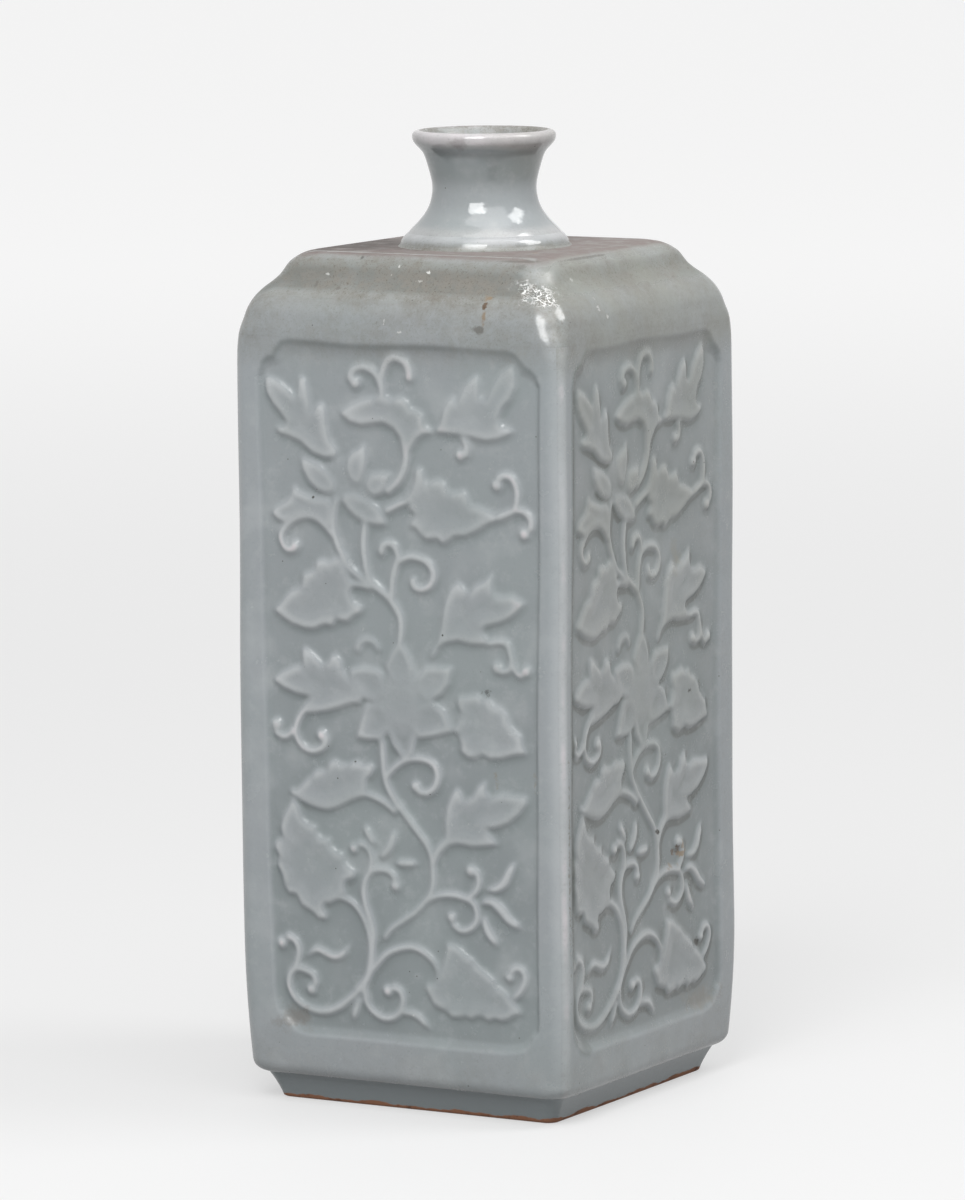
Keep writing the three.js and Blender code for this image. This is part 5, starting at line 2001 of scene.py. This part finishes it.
@dataclass(frozen=True)
class Studio:
    """A pale floor under an even sky, with three softboxes."""

    floor_colour: Triple = (0.26, 0.26, 0.26)
    backdrop: float = 0.80
    floor_glow: float = 0.50
    sky: float = 0.33
    softboxes: tuple[Softbox, ...] = (
        Softbox("key_softbox", 12.0, 41.0, 0.76, 0.86, 19.0),
        Softbox("side_softbox", 113.0, 48.0, 0.60, 0.70, 10.5),
        Softbox("overhead_softbox", 45.0, 62.0, 2.6, 2.6, 40.0, 2.8),
    )

    def seen_share(self, tree: bpy.types.NodeTree) -> Socket:
        """Return 1 for what the camera sees, straight or in a reflection, and 0 for light on the vase.

        Args:
            tree: the lamp's or the world's nodes.

        Returns:
            The share's socket.
        """
        path = tree.nodes.new("ShaderNodeLightPath")
        total = path.outputs["Is Camera Ray"]
        for name in ("Is Glossy Ray", "Is Transmission Ray"):
            node = tree.nodes.new("ShaderNodeMath")
            node.operation = "MAXIMUM"
            tree.links.new(total, node.inputs[0])
            tree.links.new(path.outputs[name], node.inputs[1])
            total = node.outputs["Value"]
        return total

    def lay_floor(self) -> None:
        """Add the floor, which looks as pale far off as near by."""
        bpy.ops.object.select_all(action="DESELECT")
        bpy.ops.mesh.primitive_circle_add(vertices=96, radius=9.0, fill_type="NGON")
        floor = bpy.context.object
        floor.name = "studio_floor"
        material = bpy.data.materials.new("studio_floor")
        material.use_nodes = True
        tree = material.node_tree
        shader = tree.nodes["Principled BSDF"]
        shader.inputs["Base Color"].default_value = (*self.floor_colour, 1.0)
        shader.inputs["Roughness"].default_value = 0.7
        shader.inputs["Emission Color"].default_value = (1.0, 1.0, 1.0, 1.0)
        place = tree.nodes.new("ShaderNodeTexCoord")
        length = tree.nodes.new("ShaderNodeVectorMath")
        length.operation = "LENGTH"
        tree.links.new(place.outputs["Object"], length.inputs[0])
        far = tree.nodes.new("ShaderNodeMapRange")
        far.interpolation_type = "SMOOTHSTEP"
        far.inputs["From Min"].default_value = 0.2
        far.inputs["From Max"].default_value = 3.0
        far.inputs["To Min"].default_value = self.floor_glow
        far.inputs["To Max"].default_value = self.backdrop - self.sky * self.floor_colour[0]
        tree.links.new(length.outputs["Value"], far.inputs["Value"])
        glow = tree.nodes.new("ShaderNodeMath")
        glow.operation = "MULTIPLY"
        tree.links.new(far.outputs["Result"], glow.inputs[0])
        tree.links.new(self.seen_share(tree), glow.inputs[1])
        tree.links.new(glow.outputs["Value"], shader.inputs["Emission Strength"])
        floor.data.materials.append(material)

    def set_sky(self) -> None:
        """Light the scene evenly from all round, and show a pale backdrop."""
        world = bpy.data.worlds.new("studio_sky")
        world.use_nodes = True
        tree = world.node_tree
        background = tree.nodes["Background"]
        background.inputs["Color"].default_value = (1.0, 1.0, 1.0, 1.0)
        strength = tree.nodes.new("ShaderNodeMapRange")
        strength.inputs["To Min"].default_value = self.sky
        strength.inputs["To Max"].default_value = self.backdrop
        tree.links.new(self.seen_share(tree), strength.inputs["Value"])
        tree.links.new(strength.outputs["Result"], background.inputs["Strength"])
        bpy.context.scene.world = world

    def set_up(self) -> None:
        """Lay the floor, set the sky and hang the lamps."""
        self.lay_floor()
        self.set_sky()
        for softbox in self.softboxes:
            softbox.hang()


# The whole vase


@dataclass
class Vase:
    """The vase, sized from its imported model."""

    glaze: CeladonGlaze = CeladonGlaze("celadon_glaze", marks=BODY_MARKS, frost=FROST)
    neck_glaze: CeladonGlaze = CeladonGlaze("neck_glaze", thin=(0.46, 0.465, 0.475), roughness=0.09,
                                            polish=0.0, dust_from=0.97, marks=NECK_MARKS)
    foot_glaze: FootGlaze = FootGlaze("foot_glaze")
    clay: BareClay = BareClay("inside_clay", (0.40, 0.36, 0.31), (0.28, 0.25, 0.21))
    deck_thickness: float = 6.5
    hole_radius: float = 14.0
    seam: float = 0.3
    form: BodyForm = field(init=False)

    def __post_init__(self) -> None:
        """Read the body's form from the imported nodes."""
        low, high = self.box("shoulder")
        self.form = BodyForm(high.x, self.box("floor_slab")[0].z, low.z, high.z)

    @staticmethod
    def box(node: str) -> tuple[Vector, Vector]:
        """Return a node's lowest and highest corners in millimetres."""
        low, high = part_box(node)
        return Vector(low) / MM, Vector(high) / MM

    def build_body(self) -> None:
        """Build the four walls and the shoulder."""
        glaze = self.glaze.material()
        inner_half = self.box("floor_slab")[1].x + self.seam
        ornament = Ornament()
        for side in Side:
            wall = Wall(side, self.form, ornament, inner_half).build()
            dress(wall, glaze, f"{side.name.lower()}_wall")
        ceiling = self.form.deck - self.deck_thickness
        shoulder = Shoulder(self.form, self.hole_radius, ceiling, inner_half).build()
        dress(shoulder, glaze, "shoulder")

    def build_neck(self) -> None:
        """Build the neck and the ring round its foot."""
        glaze = self.neck_glaze.material()
        low, high = self.box("neck")
        ring_low, ring_high = self.box("neck_ring")
        neck = Neck(low.z, high.z - low.z, ring_height=ring_high.z - ring_low.z).build()
        dress(neck, glaze, "neck")
        ring = NeckRing(ring_low.z, Neck.tenon, ring_high.x, ring_high.z - ring_low.z).build()
        dress(ring, glaze, "neck_ring")

    def build_foot(self) -> None:
        """Build the four foot strips."""
        glaze = self.foot_glaze.material()
        low, _ = self.box("front_foot_strip")
        for side in Side:
            strip = FootStrip(side, self.form, self.form.bottom, half_top=-low.y + self.seam).build()
            dress(strip, glaze, f"{side.name.lower()}_foot_strip")

    def dress_inside(self, nodes: dict[str, bpy.types.Object]) -> None:
        """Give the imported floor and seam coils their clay.

        Args:
            nodes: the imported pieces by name.
        """
        clay = self.clay.material()
        for name, node in nodes.items():
            if name == "floor_slab" or name.endswith("_seam_coil"):
                node.data.materials.clear()
                node.data.materials.append(clay)


def main() -> None:
    """Build, dress and light the vase."""
    logging.basicConfig(level=logging.INFO, format="%(name)s %(message)s")
    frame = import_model()
    bpy.context.scene.view_settings.view_transform = "Standard"
    PhotoView().place_camera()
    vase = Vase()
    vase.build_body()
    vase.build_neck()
    vase.build_foot()
    vase.dress_inside(frame["nodes"])
    Studio().set_up()


if __name__ == "__main__":
    main()
